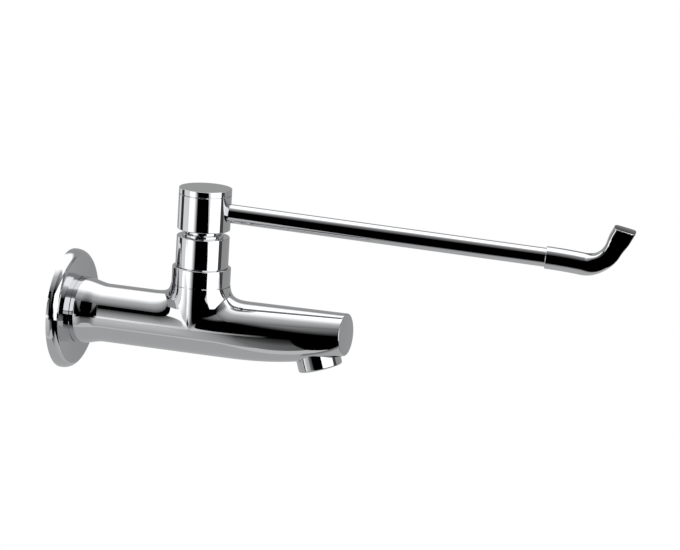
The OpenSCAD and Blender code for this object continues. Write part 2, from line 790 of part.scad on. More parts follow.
module handle_hub() {
    socket_h = spline_top_z + loose_gap - skirt_roof_z;
    color(chrome) on_handle() difference() {
        rotate_extrude() polygon([
            [screw_hole_r, skirt_roof_z],
            [skirt_r - skirt_wall, skirt_roof_z],
            [skirt_r - skirt_wall, skirt_bottom_z],
            [skirt_r, skirt_bottom_z],
            [skirt_r, hub_bottom_z],
            [hub_r - edge_bevel, hub_bottom_z],
            [hub_r, hub_bottom_z + edge_bevel],
            [hub_r, hub_top_z],
            [cap_bore_r, hub_top_z],
            [cap_bore_r, cap_plug_floor],
            [screw_pocket_r, cap_plug_floor],
            [screw_pocket_r, screw_web_z],
            [screw_hole_r, screw_web_z]
        ]);
        translate([0, 0, skirt_roof_z - over])
            linear_extrude(socket_h + over) polygon(spline_points(spline_d / 2));
        along_lever() {
            translate([0, 0, stud_tip - loose_gap]) cylinder(h = hub_r, r = stud_d / 2 + fit);
            translate([0, 0, rod_seat]) cylinder(h = hub_r, r = rod_r + fit);
        }
    }
}

module handle_screw() {
    slot_w = 1;
    slot_web = 1;
    color(steel) on_handle() difference() {
        union() {
            translate([0, 0, spline_bottom_z + loose_gap])
                cylinder(h = screw_head_z - spline_bottom_z, r = screw_d / 2 - fit);
            translate([0, 0, screw_head_z]) cylinder(h = screw_head_h, r = screw_head_r);
        }
        for (turn = [0, 90])
            rotate([0, 0, turn])
                translate([-screw_d / 2, -slot_w / 2, screw_head_z + slot_web])
                    cube([screw_d, slot_w, screw_head_h]);
    }
}

module spring_washer() {
    opening = 10;
    color(steel) on_handle() difference() {
        ring(screw_hole_r, screw_head_r, screw_web_z, spring_washer_t);
        wedge(screw_head_r + over, 45, opening, screw_web_z - over, spring_washer_t + 2 * over);
    }
}

module top_cap() {
    groove_r = cap_bore_r - cap_ring_d;
    groove_half = (cap_ring_d + loose_gap) / 2;
    bevel = edge_bevel / 2;
    color(chrome) on_handle() rotate_extrude() polygon([
        [0, hub_top_z],
        [cap_plug_r - cap_plug_wall, hub_top_z],
        [cap_plug_r - cap_plug_wall, hub_top_z - cap_plug_h],
        [cap_plug_r, hub_top_z - cap_plug_h],
        [cap_plug_r, cap_groove_z - groove_half],
        [groove_r, cap_groove_z - groove_half],
        [groove_r, cap_groove_z + groove_half],
        [cap_plug_r, cap_groove_z + groove_half],
        [cap_plug_r, hub_top_z],
        [hub_r, hub_top_z],
        [hub_r, cap_top_z - bevel],
        [hub_r - bevel, cap_top_z],
        [0, cap_top_z]
    ]);
}

module cap_o_ring() {
    color(rubber) on_handle() o_ring(cap_bore_r - cap_ring_d / 2, cap_groove_z, cap_ring_r);
}

module lever_rod() {
    color(chrome) on_handle() along_lever() rotate_extrude() polygon([
        [0, stud_tip],
        [stud_d / 2, stud_tip],
        [stud_d / 2, rod_seat],
        [rod_r, rod_seat],
        [rod_r, rod_reach],
        [spigot_d / 2, rod_reach],
        [spigot_d / 2, rod_reach + spigot_len],
        [0, rod_reach + spigot_len]
    ]);
}

// Middle line of the grip in the lever's own plane, as
// [along, up, direction, thickness, squareness, lean, width]
bend_start = [rod_reach + grip_straight, -grip_straight * tan(grip_dip) / 2];
bend_middle = bend_start + bend_r * [sin(grip_dip), cos(grip_dip)];
bend_end = bend_middle + bend_r * [sin(bend_angle), -cos(bend_angle)];
grip_bevel = 0.6;
grip_sides = 32;
dip_steps = 4;
bend_steps = 12;
tip_steps = 5;
// Shares of the bend and of the tip over which the bar thins and then swells again
thin_share = 0.6;
swell_share = 0.6;
grip_stations = concat(
    [
        [rod_reach, 0, 0, grip_d - 2 * grip_bevel, 0, 0, grip_d - 2 * grip_bevel],
        [rod_reach + grip_bevel, 0, 0, grip_d, 0, 0, grip_d]
    ],
    [
        for (i = [1:dip_steps])
            let (share = i / dip_steps)
                [rod_reach + grip_straight * share, bend_start[1] * share * share, -grip_dip * share,
                    grip_d, 0, 0, grip_d]
    ],
    [
        for (i = [1:bend_steps])
            let (
                a = (bend_angle + grip_dip) * i / bend_steps - grip_dip,
                share = smooth_step(i / bend_steps / thin_share)
            )
                [bend_middle[0] + bend_r * sin(a), bend_middle[1] - bend_r * cos(a), a,
                    grip_d + (bend_d - grip_d) * share, grip_square * share, 0, grip_d]
    ],
    [
        for (i = [1:tip_steps])
            let (l = tip_len * i / tip_steps, share = smooth_step(i / tip_steps / swell_share))
                [bend_end[0] + l * cos(bend_angle), bend_end[1] + l * sin(bend_angle), bend_angle,
                    bend_d + (tip_d - bend_d) * share, grip_square, tip_cut_lean * i / tip_steps,
                    grip_d + (tip_w - grip_d) * share]
    ]
);

// Ring of points round the middle line; a lean slants it, longer on the outside of the bend
function grip_ring(station) = [
    for (j = [0:grip_sides - 1])
        let (
            a = j * 360 / grip_sides,
            n = 2 + station[4],
            r = pow(pow(abs(cos(a)), n) + pow(abs(sin(a)), n), -1 / n) / 2,
            across = station[6] * r * cos(a),
            up = station[3] * r * sin(a),
            shift = -up * tan(station[5])
        )
        [
            across,
            station[1] + up * cos(station[2]) + shift * sin(station[2]),
            station[0] - up * sin(station[2]) + shift * cos(station[2])
        ]
];

module elbow_grip() {
    color(chrome) on_handle() along_lever() difference() {
        skin([for (station = grip_stations) grip_ring(station)]);
        translate([0, 0, rod_reach - over])
            cylinder(h = spigot_len + over + loose_gap, r = spigot_d / 2 + fit);
    }
}

// Aerator pieces, from the outlet face upwards

module aerator_shell() {
    rim_round = 1;
    color(chrome) at_outlet() rotate_extrude() polygon(concat(
        [[aerator_lip_r, 0]],
        [for (a = [-90:15:0]) [aerator_r - rim_round + rim_round * cos(a), rim_round + rim_round * sin(a)]],
        [
            [aerator_r, aerator_h],
            [aerator_thread_r, aerator_h],
            [aerator_thread_r, aerator_h + aerator_thread_len],
            [aerator_bore_r, aerator_h + aerator_thread_len],
            [aerator_bore_r, aerator_lip_t],
            [aerator_lip_r, aerator_lip_t]
        ]
    ));
}

module aerator_insert() {
    step = insert_hole_d + insert_web;
    color(white_plastic) at_outlet() difference() {
        translate([0, 0, aerator_lip_t]) cylinder(h = insert_h, r = aerator_bore_r - fit);
        hole_field(insert_hole_d, step, aerator_lip_r, aerator_lip_t - over, insert_h + 2 * over, 6);
    }
}

module aerator_screen() {
    screen_z = aerator_lip_t + insert_h;
    step = screen_hole_d + screen_web;
    color(steel) at_outlet() difference() {
        translate([0, 0, screen_z]) cylinder(h = screen_t, r = aerator_bore_r - fit);
        hole_field(screen_hole_d, step, aerator_lip_r, screen_z - over, screen_t + 2 * over, 4);
    }
}

module aerator_washer() {
    color(rubber) at_outlet()
        ring(outlet_bore_r, aerator_thread_r - fit, aerator_h + aerator_thread_len, aerator_washer_t);
}

body();
wall_flange();
neck_ring();
bonnet_cover();
cartridge_bush();
bush_o_ring();
seat_washer();
fixed_disc();
aerator_shell();
aerator_insert();
aerator_screen();
aerator_washer();
moving_disc();
spindle();
spindle_o_rings();
slip_washer();
circlip();
handle_hub();
handle_screw();
spring_washer();
top_cap();
cap_o_ring();
lever_rod();
elbow_grip();
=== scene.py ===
import json
import math
from collections import namedtuple

import bmesh
import bpy
from bpy.props import FloatProperty, PointerProperty, StringProperty
from mathutils import Matrix, Vector


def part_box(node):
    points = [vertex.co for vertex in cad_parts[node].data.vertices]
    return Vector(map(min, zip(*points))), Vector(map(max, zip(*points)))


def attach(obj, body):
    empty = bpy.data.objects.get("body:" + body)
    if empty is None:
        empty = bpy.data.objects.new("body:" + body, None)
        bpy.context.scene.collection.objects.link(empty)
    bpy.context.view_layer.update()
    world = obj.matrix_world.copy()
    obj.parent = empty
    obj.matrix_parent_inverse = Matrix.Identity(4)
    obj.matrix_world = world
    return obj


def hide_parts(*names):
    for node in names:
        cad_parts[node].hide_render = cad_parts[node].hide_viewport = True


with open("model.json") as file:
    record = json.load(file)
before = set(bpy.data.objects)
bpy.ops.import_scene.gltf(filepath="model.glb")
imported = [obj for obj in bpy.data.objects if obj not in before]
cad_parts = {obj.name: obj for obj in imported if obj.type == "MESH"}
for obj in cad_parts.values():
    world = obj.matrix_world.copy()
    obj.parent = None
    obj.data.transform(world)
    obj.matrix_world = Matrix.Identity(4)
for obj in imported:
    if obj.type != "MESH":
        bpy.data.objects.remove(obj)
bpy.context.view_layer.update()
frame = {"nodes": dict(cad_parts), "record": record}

bl_info = {
    "name": "Elbow Lever Tap",
    "version": (1, 0, 0),
    "blender": (4, 5, 0),
    "location": "View3D > Sidebar > Tap",
    "description": "Dresses the pieces of a wall-mounted elbow lever tap and sets up its studio",
    "category": "Object",
}

MM = 0.001

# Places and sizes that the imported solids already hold
BODY_LOW, BODY_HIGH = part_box("body")
FLANGE_LOW, FLANGE_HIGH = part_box("wall_flange")
RING_LOW, RING_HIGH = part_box("neck_ring")
COVER_LOW, COVER_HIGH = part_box("bonnet_cover")
HUB_LOW, HUB_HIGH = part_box("handle_hub")
CAP_LOW, CAP_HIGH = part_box("top_cap")
COLUMN_Y = (RING_LOW.y + RING_HIGH.y) / 2
LEVER_Z = frame["record"]["behaviour"]["joints"][0]["pos_m"][2]

# Fineness of the meshes, as counts of steps and as angles
TURN_STEPS = 160
BORE_STEPS = 96
ROUND_STEPS = 5
BODY_SIDES = 160
BARREL_RINGS = 46
SPOUT_RINGS = 60
GRIP_SIDES = 96
STRAIGHT_RINGS = 16
BEND_RINGS = 40
SHEET_STEPS = 16
HALVINGS = 30
FILLET_DEGREES = 3
SHOULDER_DEGREES = 5
SHARP_ANGLE = math.radians(32)
MERGE_GAP = 1e-6
TINY = 1e-5

# Usual range of the noise that makes a grain, share by which it varies the plating's polish, and the colour mix
# node's sockets
GRAIN_LOW, GRAIN_HIGH = 0.25, 0.75
POLISH_SPREAD = 0.4
MIX_FIRST, MIX_SECOND, MIX_RESULT = 6, 7, 2


class TapBodySizes(bpy.types.PropertyGroup):
    """Sizes of the cast body"""

    barrel_d: FloatProperty(
        name="Barrel", description="Diameter of the straight barrel and of the neck",
        default=RING_HIGH.x - RING_LOW.x, unit="LENGTH")
    flare_d: FloatProperty(
        name="Flare", description="Diameter of the flared end beside the wall",
        default=BODY_HIGH.x - BODY_LOW.x, unit="LENGTH")
    flare_edge: FloatProperty(
        name="Flare edge", description="Plain length at the wide end of the flare", default=2 * MM, unit="LENGTH")
    flare_len: FloatProperty(
        name="Flare length", description="Length over which the flare runs out", default=13 * MM, unit="LENGTH")
    neck_blend: FloatProperty(
        name="Neck blend", description="Size of the blend between neck and barrel", default=13 * MM, unit="LENGTH")
    taper_start: FloatProperty(
        name="Taper start", description="From the column's axis to the start of the spout's taper",
        default=11.5 * MM, unit="LENGTH")
    spout_end_w: FloatProperty(
        name="Spout end width", description="Width of the spout's end face", default=24.6 * MM, unit="LENGTH")
    spout_end_h: FloatProperty(
        name="Spout end height", description="Height of the spout's end face", default=22.2 * MM, unit="LENGTH")
    spout_end_z: FloatProperty(
        name="Spout end rise", description="Middle of the end face above the barrel's axis",
        default=5 * MM, unit="LENGTH")
    spout_end_lean: FloatProperty(
        name="Spout end lean", description="Lean of the end face from the vertical",
        default=math.radians(2.5), subtype="ANGLE")
    underside_square: FloatProperty(
        name="Underside squareness", description="How far the spout's underside departs from a round", default=1.4)
    edge_round: FloatProperty(
        name="Spout edge", description="Rounding of the end face's edge", default=0.35 * MM, unit="LENGTH")
    thread_pitch: FloatProperty(
        name="Thread pitch", description="Pitch of the inlet thread", default=1.814 * MM, unit="LENGTH")
    thread_depth: FloatProperty(
        name="Thread depth", description="Depth of the inlet thread", default=1.1 * MM, unit="LENGTH")


class TapTrimSizes(bpy.types.PropertyGroup):
    """Sizes of the turned trim and of the lever"""

    flange_edge: FloatProperty(
        name="Flange edge", description="Plain height of the flange's rim", default=1 * MM, unit="LENGTH")
    flange_t: FloatProperty(
        name="Flange thickness", description="From the wall to the rim's front edge", default=5.8 * MM, unit="LENGTH")
    flange_round: FloatProperty(
        name="Flange round", description="Width of the flange's rounded shoulder", default=3.5 * MM, unit="LENGTH")
    flange_dish: FloatProperty(
        name="Flange dish", description="Depth of the dished front at the collar", default=1.6 * MM, unit="LENGTH")
    collar_d: FloatProperty(
        name="Collar", description="Diameter of the flange's collar", default=36 * MM, unit="LENGTH")
    edge_round: FloatProperty(
        name="Edge rounding", description="Rounding of the turned pieces' edges", default=0.45 * MM, unit="LENGTH")
    seam_round: FloatProperty(
        name="Seam rounding", description="Rounding where two turned pieces meet", default=0.12 * MM, unit="LENGTH")
    seam_gap: FloatProperty(
        name="Seam groove", description="Height of the fine groove between two turned pieces", default=0.35 * MM,
        unit="LENGTH")
    seam_depth: FloatProperty(
        name="Seam depth", description="Depth of the fine groove between two turned pieces", default=0.7 * MM,
        unit="LENGTH")
    cover_lip: FloatProperty(
        name="Cover lip", description="Height of the lip round the handle's skirt", default=1.2 * MM, unit="LENGTH")
    hub_gap: FloatProperty(
        name="Hub gap", description="Open height between cover and hub", default=3.6 * MM, unit="LENGTH")
    skirt_d: FloatProperty(
        name="Skirt", description="Diameter of the skirt below the hub", default=18.4 * MM, unit="LENGTH")
    lever_turned: FloatProperty(
        name="Lever turn", description="Turn of the lever from the spout's line", default=math.radians(12),
        subtype="ANGLE")
    lever_droop: FloatProperty(
        name="Lever droop", description="Slope of the lever, down towards its grip", default=math.radians(3.4),
        subtype="ANGLE")
    rod_d: FloatProperty(
        name="Rod", description="Diameter of the lever's rod", default=10 * MM, unit="LENGTH")
    rod_reach: FloatProperty(
        name="Rod reach", description="From the column's axis to the grip's joint", default=181.2 * MM, unit="LENGTH")
    grip_d: FloatProperty(
        name="Grip", description="Diameter of the grip's straight part", default=11.9 * MM, unit="LENGTH")
    grip_straight: FloatProperty(
        name="Grip straight", description="Length of the grip before its bend", default=19.5 * MM, unit="LENGTH")
    grip_dip: FloatProperty(
        name="Grip dip", description="Slope to which the grip dips before its bend", default=math.radians(4),
        subtype="ANGLE")
    bend_r: FloatProperty(
        name="Bend radius", description="Radius of the grip's bend along its middle", default=15 * MM, unit="LENGTH")
    bend_angle: FloatProperty(
        name="Bend angle", description="Rise of the bar past the bend, from the line of the rod",
        default=math.radians(67), subtype="ANGLE")
    bend_d: FloatProperty(
        name="Bend thickness", description="Thickness where the bent bar is thinnest", default=9.6 * MM, unit="LENGTH")
    tip_len: FloatProperty(
        name="Tip", description="Straight length after the bend", default=13 * MM, unit="LENGTH")
    tip_d: FloatProperty(
        name="Tip thickness", description="Thickness at the cut end", default=11.4 * MM, unit="LENGTH")
    tip_w: FloatProperty(
        name="Tip width", description="Width across the cut end", default=13.5 * MM, unit="LENGTH")
    tip_cut_lean: FloatProperty(
        name="Tip cut", description="Slant of the cut end", default=math.radians(14), subtype="ANGLE")
    grip_square: FloatProperty(
        name="Grip squareness", description="How far the bent bar's section departs from a round", default=3.0)
    aerator_d: FloatProperty(
        name="Aerator", description="Diameter of the aerator's shell", default=23.4 * MM, unit="LENGTH")
    outlet_reach: FloatProperty(
        name="Outlet reach", description="From the wall to the outlet's middle", default=143.8 * MM, unit="LENGTH")
    outlet_drop: FloatProperty(
        name="Outlet drop", description="Outlet's middle below the barrel's axis", default=14.434 * MM, unit="LENGTH")
    outlet_tilt: FloatProperty(
        name="Outlet tilt", description="Lean of the aerator towards the user",
        default=math.radians(17), subtype="ANGLE")


class TapFinish(bpy.types.PropertyGroup):
    """Colours as sRGB hex values, and the polish of the plating"""

    chrome: StringProperty(name="Chrome", description="Colour of the plating", default="#CBCCCE")
    brass: StringProperty(name="Brass", description="Colour of bare turned brass", default="#C9A75A")
    rubber: StringProperty(name="Rubber", description="Colour of the seals", default="#1B1B1C")
    ceramic: StringProperty(name="Ceramic", description="Colour of the valve discs", default="#F2EFE8")
    plastic: StringProperty(name="Plastic", description="Colour of the moulded acetal", default="#E6E5E0")
    steel: StringProperty(name="Steel", description="Colour of the small steel parts", default="#B4B6B9")
    polish: FloatProperty(
        name="Polish", description="Roughness of the plating", default=0.035, subtype="FACTOR", min=0.0, max=1.0)
    waviness: FloatProperty(
        name="Waviness", description="Height of the polished surface's waves", default=4e-6, unit="LENGTH")


class TapStudio(bpy.types.PropertyGroup):
    """Camera, floor and light"""

    lens: FloatProperty(
        name="Lens", description="Focal length in millimetres", default=222.97, unit="CAMERA")
    distance: FloatProperty(
        name="Distance", description="From the camera to its target", default=2.200463, unit="LENGTH")
    azimuth: FloatProperty(
        name="Azimuth", description="Camera's turn from the side of the tap towards its front",
        default=math.radians(17.934), subtype="ANGLE")
    elevation: FloatProperty(
        name="Elevation", description="Camera's height angle", default=math.radians(11.99), subtype="ANGLE")
    roll: FloatProperty(
        name="Roll", description="Camera's roll", default=math.radians(3.378), subtype="ANGLE")
    target_reach: FloatProperty(
        name="Target reach", description="Camera's target out of the wall", default=151.424 * MM, unit="LENGTH")
    target_z: FloatProperty(
        name="Target height", description="Camera's target above the barrel's axis",
        default=36.392 * MM, unit="LENGTH")
    floor_drop: FloatProperty(
        name="Floor", description="Floor below the barrel's axis", default=1.0, unit="LENGTH")
    fill_distance: FloatProperty(
        name="Fill distance", description="From the tap to the pale fill cards beside it", default=0.25,
        unit="LENGTH")
    flag_distance: FloatProperty(
        name="Flag distance", description="From the tap to the black flags and white cards beyond the fill",
        default=0.8, unit="LENGTH")
    wall_distance: FloatProperty(
        name="Wall distance", description="From the tap to the studio's dim front wall", default=1.1, unit="LENGTH")
    ceiling_height: FloatProperty(
        name="Ceiling", description="Softbox above the tap", default=1.0, unit="LENGTH")
    table_drop: FloatProperty(
        name="Table", description="Pale table top below the barrel's axis", default=0.3, unit="LENGTH")
    floor_light: FloatProperty(name="Floor light", description="Brightness of the floor", default=1.0)
    box_light: FloatProperty(name="Softbox light", description="Brightness of the softboxes", default=1.9)
    table_light: FloatProperty(name="Table light", description="Brightness of the table top", default=0.55)
    room_light: FloatProperty(name="Room light", description="Brightness of the grey room", default=0.42)


def srgb(code):
    """Linear colour of an sRGB hex value."""
    parts = [int(code[i:i + 2], 16) / 255 for i in (1, 3, 5)]
    return tuple(p / 12.92 if p <= 0.04045 else ((p + 0.055) / 1.055) ** 2.4 for p in parts) + (1.0,)


def add_node(tree, kind, settings=None, inputs=None):
    """Adds a node, sets its properties, and fills sockets with values or with links from (node, output)."""
    node = tree.nodes.new(kind)
    for key, value in (settings or {}).items():
        setattr(node, key, value)
    for key, value in (inputs or {}).items():
        if isinstance(value, tuple) and isinstance(value[0], bpy.types.Node):
            tree.links.new(value[0].outputs[value[1]], node.inputs[key])
        else:
            node.inputs[key].default_value = value
    return node


def new_tree(name):
    """Empty material and its node tree."""
    material = bpy.data.materials.new(name)
    material.use_nodes = True
    material.node_tree.nodes.clear()
    return material, material.node_tree


def surface(name, colour, metallic, rough, grain_mm, grain_height, stretch=(1, 1, 1), darken=0.0):
    """Principled surface whose grain, in millimetres, varies its roughness, its shade and its relief."""
    material, tree = new_tree(name)
    place = add_node(tree, "ShaderNodeTexCoord")
    stretched = add_node(tree, "ShaderNodeMapping", {"vector_type": "POINT"}, {
        "Vector": (place, "Object"), "Scale": stretch})
    grain = add_node(tree, "ShaderNodeTexNoise", {"noise_dimensions": "3D"}, {
        "Vector": (stretched, "Vector"), "Scale": 1 / (grain_mm * MM), "Detail": 3.0, "Roughness": 0.5})
    roughness = add_node(tree, "ShaderNodeMapRange", {}, {
        "Value": (grain, "Fac"), "From Min": GRAIN_LOW, "From Max": GRAIN_HIGH, "To Min": rough[0],
        "To Max": rough[1]})
    relief = add_node(tree, "ShaderNodeBump", {}, {
        "Height": (grain, "Fac"), "Strength": 1.0, "Distance": grain_height})
    base = colour
    if darken:
        dark = tuple(c * (1 - darken) for c in colour[:3]) + (1.0,)
        blend = add_node(tree, "ShaderNodeMix", {"data_type": "RGBA"}, {
            "Factor": (grain, "Fac"), MIX_FIRST: dark, MIX_SECOND: colour})
        base = (blend, MIX_RESULT)
    shader = add_node(tree, "ShaderNodeBsdfPrincipled", {}, {
        "Base Color": base, "Metallic": metallic, "Roughness": (roughness, "Result"),
        "Normal": (relief, "Normal")})
    add_node(tree, "ShaderNodeOutputMaterial", {}, {"Surface": (shader, "BSDF")})
    return material


def plating(name, finish, grain_mm, wave_share, stretch=(1, 1, 1)):
    """Bright chrome: a mirror whose polish varies a little over faint waves of a given length."""
    rough = (finish.polish * (1 - POLISH_SPREAD), finish.polish * (1 + POLISH_SPREAD))
    return surface(
        name, srgb(finish.chrome), metallic=1.0, rough=rough, grain_mm=grain_mm,
        grain_height=finish.waviness * wave_share, stretch=stretch)


def cast_chrome(finish):
    """Bright chrome over hand-polished cast brass: a mirror with long, faint waves."""
    return plating("chrome_on_polished_casting", finish, grain_mm=9.0, wave_share=1)


def turned_chrome(finish):
    """Bright chrome over turned brass: a truer mirror than the casting's."""
    return plating("chrome_on_turned_brass", finish, grain_mm=6.0, wave_share=1 / 4)


def bar_chrome(finish):
    """Bright chrome over drawn bar: a mirror whose faint waves run along the bar."""
    return plating("chrome_on_drawn_bar", finish, grain_mm=4.0, wave_share=1 / 6, stretch=(1, 0.12, 1))


def turned_brass(finish):
    """Bare turned brass: yellow metal with fine tool marks that dull it."""
    return surface(
        "bare_turned_brass", srgb(finish.brass), metallic=1.0, rough=(0.22, 0.38), grain_mm=0.4,
        grain_height=6e-6, stretch=(0.2, 0.2, 1), darken=0.15)


def moulded_rubber(finish):
    """Moulded nitrile rubber: black, matt, with a fine talc-grey grain."""
    return surface(
        "moulded_nitrile_rubber", srgb(finish.rubber), metallic=0.0, rough=(0.55, 0.8), grain_mm=0.3,
        grain_height=1e-5, darken=0.3)


def lapped_ceramic(finish):
    """Lapped alumina: off-white, dense, with a soft gloss and hardly any grain."""
    return surface(
        "lapped_alumina", srgb(finish.ceramic), metallic=0.0, rough=(0.16, 0.28), grain_mm=0.25,
        grain_height=2e-6, darken=0.06)


def moulded_acetal(finish):
    """Moulded acetal: milky white plastic with a satin sheen."""
    return surface(
        "moulded_acetal", srgb(finish.plastic), metallic=0.0, rough=(0.3, 0.45), grain_mm=0.5,
        grain_height=5e-6, darken=0.08)


def bright_steel(finish):
    """Bright drawn stainless steel: grey metal with short fine scratches."""
    return surface(
        "bright_drawn_stainless", srgb(finish.steel), metallic=1.0, rough=(0.18, 0.34), grain_mm=0.3,
        grain_height=4e-6, stretch=(1, 1, 0.2), darken=0.1)


def material_once(make):
    """Material of a finish, made on first use."""
    finish = bpy.context.scene.tap_finish
    if make.__name__ not in finish:
        finish[make.__name__] = make(finish).name
    return bpy.data.materials[finish[make.__name__]]


def finished(bm, name, body, material, nodes, even=True):
    """Closes a mesh, shades it smooth between its sharp edges, and stands it in for its solids."""
    bmesh.ops.remove_doubles(bm, verts=bm.verts, dist=MERGE_GAP)
    bmesh.ops.recalc_face_normals(bm, faces=bm.faces)
    mesh = bpy.data.meshes.new(name)
    bm.to_mesh(mesh)
    bm.free()
    piece = bpy.data.objects.new(name, mesh)
    bpy.context.scene.collection.objects.link(piece)
    shade(piece, even)
    mesh.materials.append(material)
    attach(piece, body)
    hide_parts(*nodes)
    return piece


def shade(piece, even):
    """Smooth shading, split at sharp edges; even shading keeps flat faces flat beside small roundings."""
    piece.data.shade_smooth()
    piece.data.set_sharp_from_angle(angle=SHARP_ANGLE)
    if even:
        weights = piece.modifiers.new("even_shading", "WEIGHTED_NORMAL")
        weights.keep_sharp = True


def turned(corners, place, closed=True, steps=TURN_STEPS):
    """Spins an outline of (radius, height, rounding) corners about its axis and puts it in place."""
    bm = bmesh.new()
    verts = [bm.verts.new((radius, 0, height)) for radius, height, _ in corners]
    for start, end in zip(verts, verts[1:] + verts[:1] if closed else verts[1:]):
        bm.edges.new((start, end))
    for vert, (_, _, rounding) in zip(verts, corners):
        if rounding:
            bmesh.ops.bevel(
                bm, geom=[vert], offset=rounding, offset_type="OFFSET", segments=ROUND_STEPS, profile=0.5,
                affect="VERTICES", material=-1)
    bmesh.ops.spin(
        bm, geom=bm.verts[:] + bm.edges[:], cent=(0, 0, 0), axis=(0, 0, 1), angle=2 * math.pi, steps=steps,
        use_merge=True)
    bmesh.ops.remove_doubles(bm, verts=bm.verts, dist=MERGE_GAP)
    bmesh.ops.transform(bm, matrix=place, verts=bm.verts)
    return bm


def seam_groove(sizes, radius, low, rounding):
    """Corners of the fine groove at the lower edge of a turned piece, up to its outside."""
    inner, top = radius - sizes.seam_depth, low + sizes.seam_gap
    return [(inner, low, 0), (inner, top, 0), (radius, top, rounding)]


def on_column():
    """Frame of the upright column."""
    return Matrix.Translation((0, COLUMN_Y, 0))


def along_reach():
    """Frame whose +Z runs out of the wall along the barrel."""
    return Matrix.Rotation(math.pi / 2, 4, "X")


def along_lever(sizes):
    """Frame whose +Z runs along the lever and whose +Y is up."""
    return (Matrix.Translation((0, COLUMN_Y, LEVER_Z)) @ Matrix.Rotation(sizes.lever_turned, 4, "Z")
            @ Matrix.Rotation(math.pi / 2 + sizes.lever_droop, 4, "X"))


def at_outlet(sizes):
    """Frame of the tilted outlet, whose +Z runs up into the spout."""
    return (Matrix.Translation((0, -sizes.outlet_reach, -sizes.outlet_drop))
            @ Matrix.Rotation(-sizes.outlet_tilt, 4, "X"))


def smooth_step(t):
    """Smooth rise from 0 to 1."""
    u = min(max(t, 0), 1)
    return u * u * (3 - 2 * u)


Section = namedtuple("Section", "width height middle taper power")


class BodyForm:
    """Outer form of the body: a round barrel that flares at the wall, carries the neck and tapers to the spout."""

    # Height of the skin that is cut off above the neck
    spare = 6 * MM
    # Highest value of t * t * (1 - t), where the underside is squarest
    peak = 4 / 27

    def __init__(self, sizes):
        self.sizes = sizes
        self.barrel_r = sizes.barrel_d / 2
        self.column = -COLUMN_Y
        self.back = -FLANGE_LOW.y
        self.reach = -BODY_LOW.y - math.tan(sizes.spout_end_lean) * sizes.spout_end_h / 2
        self.taper_reach = self.column + sizes.taper_start
        self.skin_top = BODY_HIGH.z + self.spare
        self.blend_back = self.column - self.barrel_r - sizes.neck_blend
        self.blend_front = self.column + self.barrel_r + sizes.neck_blend

    def section(self, reach):
        """Section of the barrel: half width, half height, middle's height, taper and underside's power."""
        s = self.sizes
        t = min(max((reach - self.taper_reach) / (self.reach - self.taper_reach), 0), 1)
        top = self.barrel_r + (s.spout_end_z + s.spout_end_h / 2 - self.barrel_r) * t
        bottom = -self.barrel_r + (s.spout_end_z - s.spout_end_h / 2 + self.barrel_r) * t * t
        flare = (s.flare_d / 2 - self.barrel_r) * (1 - smooth_step((reach - self.back - s.flare_edge) / s.flare_len))
        width = self.barrel_r + flare + (s.spout_end_w / 2 - self.barrel_r) * t * t
        power = 2 + s.underside_square * t * t * (1 - t) / self.peak
        return Section(width, flare + (top - bottom) / 2, (top + bottom) / 2, t, power)

    def barrel_radius(self, section, turn):
        """From the middle line to the barrel's surface, at an angle up from the level."""
        n = section.power if math.sin(turn) < 0 else 2
        level_part = (abs(math.cos(turn)) / section.width) ** n
        upright_part = (abs(math.sin(turn)) / section.height) ** n
        return (level_part + upright_part) ** (-1 / n)

    def field(self, reach, section, turn, base, r):
        """Below 0 inside the barrel and neck, above 0 outside; a cubic smooth minimum blends the two."""
        x = r * math.cos(turn)
        z = section.middle + r * math.sin(turn)
        d = max(math.hypot(reach - self.column, x), TINY)
        to_barrel = r - base
        to_neck = max(d - self.barrel_r, -z)
        blend = self.sizes.neck_blend * (1 - (math.cos(turn) * x / d) ** 2) + TINY
        near = max(blend - abs(to_barrel - to_neck), 0) / blend
        return max(min(to_barrel, to_neck) - near ** 3 * blend / 6, z - self.skin_top)

    def point(self, reach, section, turn):
        """Point of the skin at a reach out of the wall and an angle round the middle line.

        Near the neck the range that holds the skin is halved until it closes on it."""
        base = self.barrel_radius(section, turn)
        r = base
        if self.blend_back < reach < self.blend_front and math.sin(turn) > -TINY:
            low, high = base - TINY, 3 * self.barrel_r
            for _ in range(HALVINGS):
                r = (low + high) / 2
                if self.field(reach, section, turn, base, r) < 0:
                    low = r
                else:
                    high = r
        rise = r * math.sin(turn)
        lean = math.tan(self.sizes.spout_end_lean) * rise * section.taper
        return Vector((r * math.cos(turn), -reach + lean, section.middle + rise))

    def depth(self, x, y, z):
        """The field at a point in space."""
        reach = -y
        for _ in range(2):
            section = self.section(reach)
            rise = z - section.middle
            reach = -y + math.tan(self.sizes.spout_end_lean) * rise * section.taper
        turn = math.atan2(rise, x)
        return self.field(reach, section, turn, self.barrel_radius(section, turn), math.hypot(x, rise))

    def normal(self, place):
        """Outward direction of the skin at one of its points."""
        slopes = []
        for axis in (Vector((TINY, 0, 0)), Vector((0, TINY, 0)), Vector((0, 0, TINY))):
            slopes.append(self.depth(*(place + axis)) - self.depth(*(place - axis)))
        return Vector(slopes).normalized()

    def slices(self):
        """Reaches of the skin's rings, closest in the fillets."""
        fillet = self.sizes.neck_blend
        quarter = [math.radians(a) for a in range(FILLET_DEGREES, 90, FILLET_DEGREES)]
        half = [math.radians(a) for a in range(-90, 91, FILLET_DEGREES)]
        back = span(self.back, self.blend_back, BARREL_RINGS)
        back += [self.blend_back + fillet * math.sin(a) for a in quarter]
        neck = [self.column + self.barrel_r * math.sin(a) for a in half]
        front = [self.blend_front - fillet * math.sin(a) for a in reversed(quarter)]
        return back + neck + front + span(self.blend_front, self.reach, SPOUT_RINGS)


def span(start, end, count):
    """Even steps from start to end."""
    return [start + (end - start) * i / count for i in range(count + 1)]


